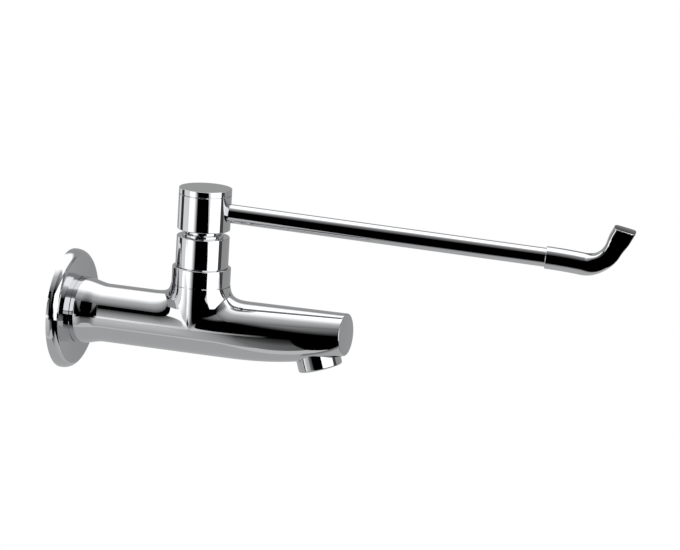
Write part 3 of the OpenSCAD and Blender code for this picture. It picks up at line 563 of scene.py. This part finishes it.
def lofted(sides, rings):
    """Skin through rings of points; each ring gives the place of a point from its angle."""
    bm = bmesh.new()
    turn = bm.verts.layers.float.new("turn")
    bmesh.ops.create_circle(bm, cap_ends=False, segments=sides, radius=1.0)
    edges = bm.edges[:]
    verts = bm.verts[:]
    for vert in verts:
        vert[turn] = math.atan2(vert.co.y, vert.co.x)
    first = edges
    for i, ring in enumerate(rings):
        if i:
            grown = bmesh.ops.extrude_edge_only(bm, edges=edges)["geom"]
            edges = [g for g in grown if isinstance(g, bmesh.types.BMEdge) and len(g.link_faces) == 1]
            verts = [g for g in grown if isinstance(g, bmesh.types.BMVert)]
        for vert in verts:
            vert.co = ring(vert[turn])
    bmesh.ops.contextual_create(bm, geom=first)
    bmesh.ops.contextual_create(bm, geom=edges)
    bmesh.ops.recalc_face_normals(bm, faces=bm.faces)
    return bm, first, edges


def round_edges(bm, edges, offset):
    """Rounds a loop of edges."""
    bmesh.ops.bevel(
        bm, geom=edges, offset=offset, offset_type="OFFSET", segments=ROUND_STEPS, profile=0.5, affect="EDGES",
        material=-1)


def cut(piece, cutter_bm):
    """Takes the cutter's space out of a piece."""
    mesh = bpy.data.meshes.new("cutter")
    bmesh.ops.recalc_face_normals(cutter_bm, faces=cutter_bm.faces)
    cutter_bm.to_mesh(mesh)
    cutter_bm.free()
    cutter = bpy.data.objects.new("cutter", mesh)
    bpy.context.scene.collection.objects.link(cutter)
    take = piece.modifiers.new("cut", "BOOLEAN")
    take.operation = "DIFFERENCE"
    take.solver = "EXACT"
    take.object = cutter
    depsgraph = bpy.context.evaluated_depsgraph_get()
    whole = piece.data
    piece.data = bpy.data.meshes.new_from_object(piece.evaluated_get(depsgraph))
    piece.modifiers.remove(take)
    piece.data.name = whole.name
    bpy.data.meshes.remove(whole)
    bpy.data.objects.remove(cutter)
    bpy.data.meshes.remove(mesh)


class TAP_OT_body(bpy.types.Operator):
    """Cast body with its spout, neck and bores"""

    bl_idname = "tap.body"
    bl_label = "Body"

    # Cosine past which a normal of the form counts as the face's own side
    same_side = 0.8

    def execute(self, context):
        sizes = context.scene.tap_body
        form = BodyForm(sizes)
        bm, _, front = lofted(BODY_SIDES, [self.ring(form, reach) for reach in form.slices()])
        round_edges(bm, front, sizes.edge_round)
        top = bmesh.ops.bisect_plane(
            bm, geom=bm.verts[:] + bm.edges[:] + bm.faces[:], plane_co=(0, 0, BODY_HIGH.z), plane_no=(0, 0, 1),
            clear_outer=True)["geom_cut"]
        bmesh.ops.contextual_create(bm, geom=[g for g in top if isinstance(g, bmesh.types.BMEdge)])
        piece = finished(bm, "cast_body", "tap_body", material_once(cast_chrome), ["body"], even=False)
        self.drill(piece, context.scene.tap_trim)
        shade(piece, even=False)
        self.smooth_fillet(piece.data, form)
        return {"FINISHED"}

    def smooth_fillet(self, mesh, form):
        """Gives the neck and its fillets the form's own normals, so that reflections run smoothly over them."""
        normals = [corner.vector.copy() for corner in mesh.corner_normals]
        for face in mesh.polygons:
            if face.center.z < 0 or not form.blend_back < -face.center.y < form.blend_front:
                continue
            for loop in face.loop_indices:
                normal = form.normal(mesh.vertices[mesh.loops[loop].vertex_index].co)
                if normal.dot(face.normal) > self.same_side:
                    normals[loop] = normal
        mesh.normals_split_custom_set(normals)

    def ring(self, form, reach):
        """Ring of the body's skin."""
        section = form.section(reach)
        return lambda turn: form.point(reach, section, turn)

    def drill(self, piece, trim):
        """Cartridge chamber above its valve seat, and stepped outlet."""
        chamber_r = 10.5 * MM
        chamber_top = 30 * MM
        seat_r = 5 * MM
        seat_z = 5.5 * MM
        seat_low = -2.5 * MM
        cut(piece, turned([
            (0, seat_low, 0),
            (seat_r, seat_low, 0),
            (seat_r, seat_z, 0),
            (chamber_r, seat_z, 0),
            (chamber_r, chamber_top, 0),
            (0, chamber_top, 0),
        ], on_column(), closed=False, steps=BORE_STEPS))
        mouth_r = 11.9 * MM
        mouth_z = 11 * MM
        thread_r = 10.05 * MM
        thread_z = 17 * MM
        bore_r = 8 * MM
        bore_z = 22.5 * MM
        cut(piece, turned([
            (0, -mouth_r, 0),
            (mouth_r, -mouth_r, 0),
            (mouth_r, mouth_z, 0),
            (thread_r, mouth_z, 0),
            (thread_r, thread_z, 0),
            (bore_r, thread_z, 0),
            (bore_r, bore_z, 0),
            (0, bore_z, 0),
        ], at_outlet(trim), closed=False, steps=BORE_STEPS))


class TAP_OT_inlet(bpy.types.Operator):
    """Threaded pipe end behind the wall plane"""

    bl_idname = "tap.inlet"
    bl_label = "Inlet thread"

    def execute(self, context):
        sizes = context.scene.tap_body
        pitch = sizes.thread_pitch
        end = -BODY_HIGH.y
        back = -FLANGE_LOW.y
        major = 10.4775 * MM
        minor = major - sizes.thread_depth
        bore = 6 * MM
        shank = 10.17 * MM
        lead_in = 0.8 * MM
        run_out = 0.5 * MM
        plain = 1 * MM
        crest_start, crest_end = 0.4 * pitch, 0.55 * pitch
        corners = [(bore, back, 0), (bore, end, 0), (minor, end, 0)]
        for i in range(int((-end - plain) / pitch)):
            start = end + lead_in + i * pitch
            corners += [(minor, start, 0), (major, start + crest_start, 0), (major, start + crest_end, 0)]
        corners += [(minor, 0, 0), (shank, run_out, 0), (shank, back, 0)]
        bm = turned(corners, along_reach())
        finished(bm, "inlet_pipe", "tap_body", material_once(turned_chrome), [])
        return {"FINISHED"}


class TAP_OT_flange(bpy.types.Operator):
    """Hollow wall flange with its collar"""

    bl_idname = "tap.flange"
    bl_label = "Wall flange"

    def execute(self, context):
        s = context.scene.tap_trim
        rim = (FLANGE_HIGH.x - FLANGE_LOW.x) / 2
        collar = s.collar_d / 2
        front = -FLANGE_LOW.y
        wall = 1.8 * MM
        bore = 10.68 * MM
        dish = s.flange_t - s.flange_dish
        shoulder = [
            (rim - s.flange_round * (1 - math.cos(a)), s.flange_edge + (s.flange_t - s.flange_edge) * math.sin(a), 0)
            for a in (math.radians(d) for d in range(0, 91, SHOULDER_DEGREES))
        ]
        corners = [(rim, 0, s.seam_round)] + shoulder + [
            (collar, dish, 0),
            (collar, front - s.seam_gap, 0),
            (collar - s.seam_depth, front - s.seam_gap, 0),
            (collar - s.seam_depth, front, 0),
            (bore, front, 0),
            (bore, s.flange_edge, 0),
            (bore + wall, s.flange_edge, 0),
            (bore + wall, dish - wall, 0),
            (collar, dish - wall, 0),
            (rim - s.flange_round - wall / 2, s.flange_t - wall, 0),
            (rim - wall, 0, s.seam_round),
        ]
        bm = turned(corners, along_reach())
        finished(bm, "flange_shell", "tap_body", material_once(turned_chrome), ["wall_flange"])
        return {"FINISHED"}


class TAP_OT_column(bpy.types.Operator):
    """Neck ring and bonnet cover on the column"""

    bl_idname = "tap.column"
    bl_label = "Ring and cover"

    def execute(self, context):
        s = context.scene.tap_trim
        material = material_once(turned_chrome)
        ring_r = (RING_HIGH.x - RING_LOW.x) / 2
        ring_bore = 14 * MM
        thread_r = 11.4 * MM
        wall = 1.5 * MM
        ring = turned([
            (ring_bore, RING_LOW.z, 0),
            *seam_groove(s, ring_r, RING_LOW.z, 0),
            (ring_r, RING_HIGH.z, s.edge_round),
            (thread_r, RING_HIGH.z, 0),
            (thread_r, RING_HIGH.z - wall, 0),
            (ring_bore, RING_HIGH.z - wall, 0),
        ], on_column())
        finished(ring, "neck_band", "tap_body", material, ["neck_ring"])
        cover_r = (COVER_HIGH.x - COVER_LOW.x) / 2
        top = COVER_HIGH.z - s.cover_lip
        clearance = 0.35 * MM
        lip_t = 1.4 * MM
        foot = 11.25 * MM
        foot_top = COVER_LOW.z + 5 * MM
        hole = s.skirt_d / 2 + clearance
        lip = hole + lip_t
        cover = turned([
            (foot, COVER_LOW.z, 0),
            *seam_groove(s, cover_r, COVER_LOW.z, s.seam_round),
            (cover_r, top, s.edge_round),
            (lip, top, s.seam_round),
            (lip, COVER_HIGH.z, s.seam_round),
            (hole, COVER_HIGH.z, s.seam_round),
            (hole, top - wall, 0),
            (cover_r - wall, top - wall, 0),
            (cover_r - wall, foot_top, 0),
            (foot, foot_top, 0),
        ], on_column())
        finished(cover, "cover_sleeve", "tap_body", material, ["bonnet_cover"])
        return {"FINISHED"}


class TAP_OT_hub(bpy.types.Operator):
    """Handle hub and its flat cap"""

    bl_idname = "tap.hub"
    bl_label = "Hub and cap"

    def execute(self, context):
        s = context.scene.tap_trim
        material = material_once(turned_chrome)
        hub_r = (HUB_HIGH.x - HUB_LOW.x) / 2
        skirt = s.skirt_d / 2
        bottom = COVER_HIGH.z - s.cover_lip + s.hub_gap
        hole = 2.7 * MM
        socket = 7.4 * MM
        roof = 52.6 * MM
        web = 64 * MM
        pocket = 5.6 * MM
        floor = 66.4 * MM
        cap_bore = 11.05 * MM
        hub = turned([
            (hole, roof, 0),
            (socket, roof, 0),
            (socket, HUB_LOW.z, 0),
            (skirt, HUB_LOW.z, s.seam_round),
            (skirt, bottom, s.seam_round),
            (hub_r, bottom, s.edge_round),
            (hub_r, HUB_HIGH.z, s.seam_round),
            (cap_bore, HUB_HIGH.z, 0),
            (cap_bore, floor, 0),
            (pocket, floor, 0),
            (pocket, web, 0),
            (hole, web, 0),
        ], on_column())
        finished(hub, "hub_drum", "lever", material, ["handle_hub"])
        plug = 11 * MM
        plug_in = 8.5 * MM
        groove_r = 10.05 * MM
        groove_low = 68 * MM
        groove_high = 69.2 * MM
        cap = turned([
            (0, HUB_HIGH.z, 0),
            (plug_in, HUB_HIGH.z, 0),
            (plug_in, CAP_LOW.z, 0),
            (plug, CAP_LOW.z, 0),
            (plug, groove_low, 0),
            (groove_r, groove_low, 0),
            (groove_r, groove_high, 0),
            (plug, groove_high, 0),
            (plug, HUB_HIGH.z, 0),
            *seam_groove(s, hub_r, HUB_HIGH.z, s.seam_round),
            (hub_r, CAP_HIGH.z, s.edge_round / 2),
            (0, CAP_HIGH.z, 0),
        ], on_column(), closed=False)
        finished(cap, "cap_disc", "lever", material, ["top_cap"])
        return {"FINISHED"}


class TAP_OT_lever(bpy.types.Operator):
    """Lever rod and its bent grip"""

    bl_idname = "tap.lever"
    bl_label = "Rod and grip"

    # Share of the bend, and of the tip, over which the bar changes its section
    change_share = 0.6

    def execute(self, context):
        s = context.scene.tap_trim
        place = along_lever(s)
        rod_r = s.rod_d / 2
        stud_r = 4 * MM
        stud_end = 6.7 * MM
        seat = 12.6 * MM
        spigot_r = 3.5 * MM
        spigot_end = s.rod_reach + 14 * MM
        joint_round = 0.5 * MM
        tip_round = 0.3 * MM
        rod = turned([
            (0, stud_end, 0),
            (stud_r, stud_end, 0),
            (stud_r, seat, 0),
            (rod_r, seat, 0),
            (rod_r, s.rod_reach, 0),
            (spigot_r, s.rod_reach, 0),
            (spigot_r, spigot_end, 0),
            (0, spigot_end, 0),
        ], place, closed=False)
        finished(rod, "rod_bar", "lever", material_once(bar_chrome), ["lever_rod"])
        bm, joint, tip = lofted(GRIP_SIDES, [self.ring(*station) for station in self.stations(s)])
        round_edges(bm, joint, joint_round)
        round_edges(bm, tip, tip_round)
        bmesh.ops.transform(bm, matrix=place, verts=bm.verts)
        finished(bm, "grip_bar", "lever", material_once(cast_chrome), ["elbow_grip"], even=False)
        return {"FINISHED"}

    def stations(self, s):
        """Middle line of the grip as (along, up, direction, thickness, width, section's power, lean)."""
        path = []
        for share in span(0, 1, STRAIGHT_RINGS):
            run = s.grip_straight * share
            path.append((
                s.rod_reach + run, -run * share * math.tan(s.grip_dip) / 2, -s.grip_dip * share, s.grip_d, s.grip_d,
                2.0, 0.0))
        middle_along = path[-1][0] + s.bend_r * math.sin(s.grip_dip)
        middle_up = path[-1][1] + s.bend_r * math.cos(s.grip_dip)
        for share in span(0, 1, BEND_RINGS)[1:]:
            a = (s.bend_angle + s.grip_dip) * share - s.grip_dip
            change = smooth_step(share / self.change_share)
            path.append((
                middle_along + s.bend_r * math.sin(a), middle_up - s.bend_r * math.cos(a), a,
                s.grip_d + (s.bend_d - s.grip_d) * change, s.grip_d, 2 + s.grip_square * change, 0.0))
        along, up, direction = path[-1][:3]
        for share in span(0, 1, STRAIGHT_RINGS)[1:]:
            run = s.tip_len * share
            change = smooth_step(share / self.change_share)
            path.append((
                along + run * math.cos(direction), up + run * math.sin(direction), direction,
                s.bend_d + (s.tip_d - s.bend_d) * change, s.grip_d + (s.tip_w - s.grip_d) * change,
                2 + s.grip_square, s.tip_cut_lean * share))
        return path

    def ring(self, along, up, direction, thick, width, power, lean):
        """Ring round the middle line; a lean slants it, longer on the outside of the bend."""
        def point(turn):
            r = (abs(math.cos(turn)) ** power + abs(math.sin(turn)) ** power) ** (-1 / power) / 2
            rise = thick * r * math.sin(turn)
            shift = -rise * math.tan(lean)
            return Vector((
                width * r * math.cos(turn),
                up + rise * math.cos(direction) + shift * math.sin(direction),
                along - rise * math.sin(direction) + shift * math.cos(direction)))
        return point


class TAP_OT_aerator(bpy.types.Operator):
    """Screw-in aerator shell under the spout"""

    bl_idname = "tap.aerator"
    bl_label = "Aerator shell"

    def execute(self, context):
        s = context.scene.tap_trim
        shell = s.aerator_d / 2
        shell_top = 11 * MM
        foot_round = 1 * MM
        lip_r = 7.7 * MM
        lip_t = 1 * MM
        bore = 8.5 * MM
        thread = 10 * MM
        thread_top = 15.5 * MM
        bm = turned([
            (lip_r, 0, s.seam_round),
            (shell, 0, foot_round),
            (shell, shell_top, 0),
            (thread, shell_top, 0),
            (thread, thread_top, 0),
            (bore, thread_top, 0),
            (bore, lip_t, 0),
            (lip_r, lip_t, 0),
        ], at_outlet(s))
        finished(bm, "aerator_sleeve", "tap_body", material_once(turned_chrome), ["aerator_shell"])
        return {"FINISHED"}


class TAP_OT_inner(bpy.types.Operator):
    """Finishes of the pieces inside, whose solids are kept"""

    bl_idname = "tap.inner"
    bl_label = "Inner pieces"

    kept = {
        "cartridge_bush": turned_brass,
        "spindle": turned_brass,
        "bush_o_ring": moulded_rubber,
        "seat_washer": moulded_rubber,
        "spindle_o_rings": moulded_rubber,
        "cap_o_ring": moulded_rubber,
        "aerator_washer": moulded_rubber,
        "fixed_disc": lapped_ceramic,
        "moving_disc": lapped_ceramic,
        "slip_washer": moulded_acetal,
        "aerator_insert": moulded_acetal,
        "aerator_screen": bright_steel,
        "circlip": bright_steel,
        "handle_screw": bright_steel,
        "spring_washer": bright_steel,
    }

    def execute(self, context):
        for node, make in self.kept.items():
            materials = frame["nodes"][node].data.materials
            materials.clear()
            materials.append(material_once(make))
        return {"FINISHED"}


def card_light():
    """Light of the studio's floor, cards and softboxes: white, as bright as each sheet's own glow value says."""
    material, tree = new_tree("studio_light")
    glow = add_node(tree, "ShaderNodeAttribute", {"attribute_type": "GEOMETRY", "attribute_name": "glow"})
    light = add_node(tree, "ShaderNodeEmission", {}, {"Strength": (glow, "Fac")})
    add_node(tree, "ShaderNodeOutputMaterial", {}, {"Surface": (light, "Emission")})
    return material


def level(z, x0, x1, y0, y1):
    """Corners of a level sheet."""
    return [(x0, y0, z), (x1, y0, z), (x1, y1, z), (x0, y1, z)]


def beside(x, y0, y1, z0, z1):
    """Corners of an upright sheet beside the tap, in line with its spout."""
    return [(x, y0, z0), (x, y1, z0), (x, y1, z1), (x, y0, z1)]


def across(y, x0, x1, z0, z1):
    """Corners of an upright sheet in line with the wall."""
    return [(x0, y, z0), (x1, y, z0), (x1, y, z1), (x0, y, z1)]


class TAP_OT_studio(bpy.types.Operator):
    """Floor, light cards, room light and camera"""

    bl_idname = "tap.studio"
    bl_label = "Studio"

    # Half the floor's side and the end of the camera's view in metres, and its sensor's width in millimetres
    floor_half = 30.0
    far_clip = 100.0
    sensor_width = 36.0

    def execute(self, context):
        s = context.scene.tap_studio
        half = self.floor_half
        self.light = card_light()
        self.sheet(context, "floor", level(-s.floor_drop, -half, half, -half, half), [s.floor_light] * 4)
        for card in self.side_cards(s) + self.softboxes(s) + self.surroundings(s):
            self.sheet(context, *card).visible_camera = False
        self.room(context, s)
        self.camera(context, s)
        context.scene.view_settings.view_transform = "Standard"
        return {"FINISHED"}

    def side_cards(self, s):
        """Pale fill cards low and close to the tap, and black flags and white cards farther off.

        Each is a name, its corners as (y, z) in an upright plane on the camera's side, and its corners' glow."""
        fill = [
            ("fill", [(0.1, -0.25), (0.03, -0.245), (0.03, -0.06), (0.1, -0.04)], [0.55, 0.5, 0.8, 0.85]),
            ("fill_far", [(0.31, -0.25), (0.1, -0.25), (0.1, -0.04), (0.31, -0.04)], [1.2, 0.55, 0.85, 2.4]),
            ("fill_fade", [(0.03, -0.06), (-0.025, -0.085), (-0.03, -0.045), (0, -0.0525)], [0.8, 0.2, 0, 0.4]),
            ("fill_edge", [(0.03, -0.245), (-0.03, -0.165), (-0.025, -0.085), (0.03, -0.06)],
             [0.5, 0.28, 0.2, 0.8]),
            ("fill_right", [(-0.03, -0.165), (-0.105, -0.145), (-0.088, -0.08), (-0.025, -0.085)],
             [0.28, 0.14, 0.16, 0.2]),
            ("fill_right_fade", [(-0.025, -0.085), (-0.088, -0.08), (-0.08, -0.05), (-0.03, -0.045)],
             [0.2, 0.16, 0, 0]),
            ("fill_low", [(0.31, -0.36), (0.03, -0.36), (0.03, -0.245), (0.31, -0.25)], [0.75] * 4),
            ("fill_low_middle", [(0.03, -0.36), (-0.06, -0.36), (-0.03, -0.165), (0.03, -0.245)], [0.75] * 4),
            ("fill_low_right", [(-0.06, -0.36), (-0.2, -0.36), (-0.105, -0.145), (-0.03, -0.165)], [0.75] * 4),
        ]
        flags = [
            ("flag_left", [(0.9, 0.46), (0.25, 0.36), (0.25, 0.62), (0.9, 0.85)], [0] * 4),
            ("flag_middle", [(0.21, -0.02), (-0.05, -0.02), (-0.05, 0), (0.245, 0.62)], [0] * 4),
            ("flag_fade", [(0.245, 0.62), (-0.05, 0), (-0.05, 0.15), (0.245, 0.77)], [0, 0, 0.1, 0.25]),
            ("card_left", [(0.9, -0.25), (0.33, -0.25), (0.33, 0.39), (0.9, 0.46)], [1.7] * 4),
            ("card_top", [(0.33, -0.08), (0.21, -0.08), (0.25, 0.36), (0.33, 0.39)], [0.7, 0.68, 0.05, 0.05]),
            ("card_fade", [(0.33, -0.19), (0.08, -0.19), (0.08, -0.08), (0.33, -0.08)], [1.7, 0, 0, 1.7]),
        ]
        return [(name, [(-away, y, z) for y, z in corners], glows)
                for away, cards in ((s.fill_distance, fill), (s.flag_distance, flags))
                for name, corners, glows in cards]

    def softboxes(self, s):
        """Softbox above, which fades towards the camera and the back, and a leaning softbox far to the right."""
        up, wall, bright = s.ceiling_height, -s.wall_distance, s.box_light
        left, right = 1.5, -0.9
        full, back, back_glow = 0.78, 1.2, 0.4
        cards = [
            ("softbox_above", level(up, 0, full, right, left), [bright] * 4),
            ("softbox_back", level(up, full, back, right, left), [bright, back_glow, back_glow, bright]),
        ]
        # The fade towards the camera: glows of four lines from left to right, at four depths
        depths = [0, -0.15, 0.35 * wall, wall]
        lines = [
            (left, [bright, 1.4, 0.7, 0.1]),
            (0, [bright, 1.4, 0.7, 0.22]),
            (-0.2, [bright, 0.55, 0.3, 0]),
            (right, [bright, 0.55, 0.3, 0]),
        ]
        for i, ((y1, glows1), (y0, glows0)) in enumerate(zip(lines, lines[1:])):
            for j, (near, far) in enumerate(zip(depths, depths[1:])):
                cards.append((
                    f"softbox_fade_{i}_{j}", level(up, far, near, y0, y1),
                    [glows0[j + 1], glows0[j], glows1[j], glows1[j + 1]]))
        # The right softbox stands along a line seen from above, and its near edge leans
        start_x, start_y = -0.865, -0.907
        along_x, along_y = 0.922, -0.387
        width = 1.02
        for part, low, high, low_edge, high_edge in [
                ("low", -0.29, -0.17, 0, 0),
                ("middle", -0.17, 0.1, 0, -0.286),
                ("high", 0.1, 0.35, -0.286, -0.55),
                ("top", 0.35, 0.95, -0.55, -0.55)]:
            corners = [(low_edge, low), (width, low), (width, high), (high_edge, high)]
            cards.append((
                "softbox_right_" + part,
                [(start_x + along_x * run, start_y + along_y * run, z) for run, z in corners], [bright] * 4))
        return cards

    def surroundings(self, s):
        """Dim walls, dark backdrop behind the camera, and the table top that fades out on the right."""
        wall, up, down, low = -s.wall_distance, s.ceiling_height, -s.table_drop, -s.floor_drop
        dark = wall - 0.5
        # Lines of the table top in x and in y, and its glows
        front, edge, back = -0.25, -0.1, 0.6
        left, middle, right, end = 0.5, -0.1, -0.5, -1.2
        pale, bright, dim = s.table_light, 0.7, 0.12
        return [
            ("front_wall", beside(wall, 0.35, -0.02, 0, up), [0.02, 0.02, 0.34, 0.3]),
            ("front_wall_left", beside(wall, 0.7, 0.35, 0, up), [0, 0.02, 0.3, 0.06]),
            ("backdrop", beside(dark, 1.6, end, low, 1.6), [0] * 4),
            ("back_wall", beside(1.3, 2, -4, low, 0.5), [s.room_light] * 4),
            ("right_edge", across(-1.3, 0.075, 0.5, -0.29, 0.6), [0.08] * 4),
            ("left_edge", across(0.5, 0.12, -0.08, -0.36, 0.3), [0.05] * 4),
            ("tip_flag", beside(0.3, -0.29, -0.2, 0.06, 0.17), [0.3, 0.3, 0.06, 0.06]),
            ("table", level(down, front, back, middle, left), [pale] * 4),
            ("table_right", level(down, edge, back, right, middle), [bright, bright, pale, pale]),
            ("table_edge", level(down, front, edge, right, middle), [dim, bright, pale, dim]),
            ("table_dark", level(down, dark, back, end, right), [0] * 4),
            ("table_front", level(down, dark, front, right, left), [0] * 4),
        ]

    def sheet(self, context, name, corners, glows):
        """Stage sheet between four corners, whose glow runs evenly from corner to corner."""
        bm = bmesh.new()
        layer = bm.verts.layers.float.new("glow")
        bmesh.ops.create_grid(bm, x_segments=SHEET_STEPS, y_segments=SHEET_STEPS, size=0.5)
        places = [Vector(corner) for corner in corners]
        for vert in bm.verts:
            u, v = vert.co.x + 0.5, vert.co.y + 0.5
            shares = ((1 - u) * (1 - v), u * (1 - v), u * v, (1 - u) * v)
            vert.co = sum((share * place for share, place in zip(shares, places)), Vector())
            vert[layer] = sum(share * glow for share, glow in zip(shares, glows))
        mesh = bpy.data.meshes.new(name)
        bm.to_mesh(mesh)
        bm.free()
        mesh.materials.append(self.light)
        sheet = bpy.data.objects.new(name, mesh)
        context.scene.collection.objects.link(sheet)
        return sheet

    def room(self, context, s):
        """Grey room for reflections, white behind the tap."""
        world = bpy.data.worlds.new("room")
        world.use_nodes = True
        tree = world.node_tree
        tree.nodes.clear()
        path = add_node(tree, "ShaderNodeLightPath")
        grey, white = [
            add_node(tree, "ShaderNodeBackground", {}, {"Color": (1, 1, 1, 1), "Strength": light})
            for light in (s.room_light, s.floor_light)]
        both = add_node(tree, "ShaderNodeMixShader", {}, {
            "Fac": (path, "Is Camera Ray"), 1: (grey, "Background"), 2: (white, "Background")})
        add_node(tree, "ShaderNodeOutputWorld", {}, {"Surface": (both, "Shader")})
        context.scene.world = world

    def camera(self, context, s):
        """Long lens at the tap's side, a little above and in front."""
        back = Vector((
            -math.cos(s.azimuth) * math.cos(s.elevation), -math.sin(s.azimuth) * math.cos(s.elevation),
            math.sin(s.elevation)))
        sideways = Vector((math.sin(s.azimuth), -math.cos(s.azimuth), 0))
        upright = back.cross(sideways)
        right = math.cos(s.roll) * sideways + math.sin(s.roll) * upright
        up = -math.sin(s.roll) * sideways + math.cos(s.roll) * upright
        lens = bpy.data.cameras.new("camera")
        lens.lens = s.lens
        lens.sensor_width = self.sensor_width
        lens.clip_end = self.far_clip
        camera = bpy.data.objects.new("camera", lens)
        target = Vector((0, -s.target_reach, s.target_z))
        turn = Matrix((right, up, back)).transposed().to_4x4()
        camera.matrix_world = Matrix.Translation(target + back * s.distance) @ turn
        context.scene.collection.objects.link(camera)
        context.scene.camera = camera


STEPS = [
    TAP_OT_body, TAP_OT_inlet, TAP_OT_flange, TAP_OT_column, TAP_OT_hub, TAP_OT_lever, TAP_OT_aerator,
    TAP_OT_inner, TAP_OT_studio,
]


class TAP_PT_panel(bpy.types.Panel):
    """Buttons for the tap's pieces and its studio"""

    bl_label = "Elbow Lever Tap"
    bl_idname = "TAP_PT_panel"
    bl_space_type = "VIEW_3D"
    bl_region_type = "UI"
    bl_category = "Tap"

    def draw(self, context):
        for step in STEPS:
            self.layout.operator(step.bl_idname)


GROUPS = {
    "tap_body": TapBodySizes,
    "tap_trim": TapTrimSizes,
    "tap_finish": TapFinish,
    "tap_studio": TapStudio,
}


def register():
    for name, group in GROUPS.items():
        bpy.utils.register_class(group)
        setattr(bpy.types.Scene, name, PointerProperty(type=group))
    for cls in STEPS + [TAP_PT_panel]:
        bpy.utils.register_class(cls)


def unregister():
    for cls in [TAP_PT_panel] + STEPS[::-1]:
        bpy.utils.unregister_class(cls)
    for name, group in GROUPS.items():
        delattr(bpy.types.Scene, name)
        bpy.utils.unregister_class(group)


def main():
    register()
    for step in STEPS:
        group, name = step.bl_idname.split(".")
        getattr(getattr(bpy.ops, group), name)()


if __name__ == "__main__":
    main()
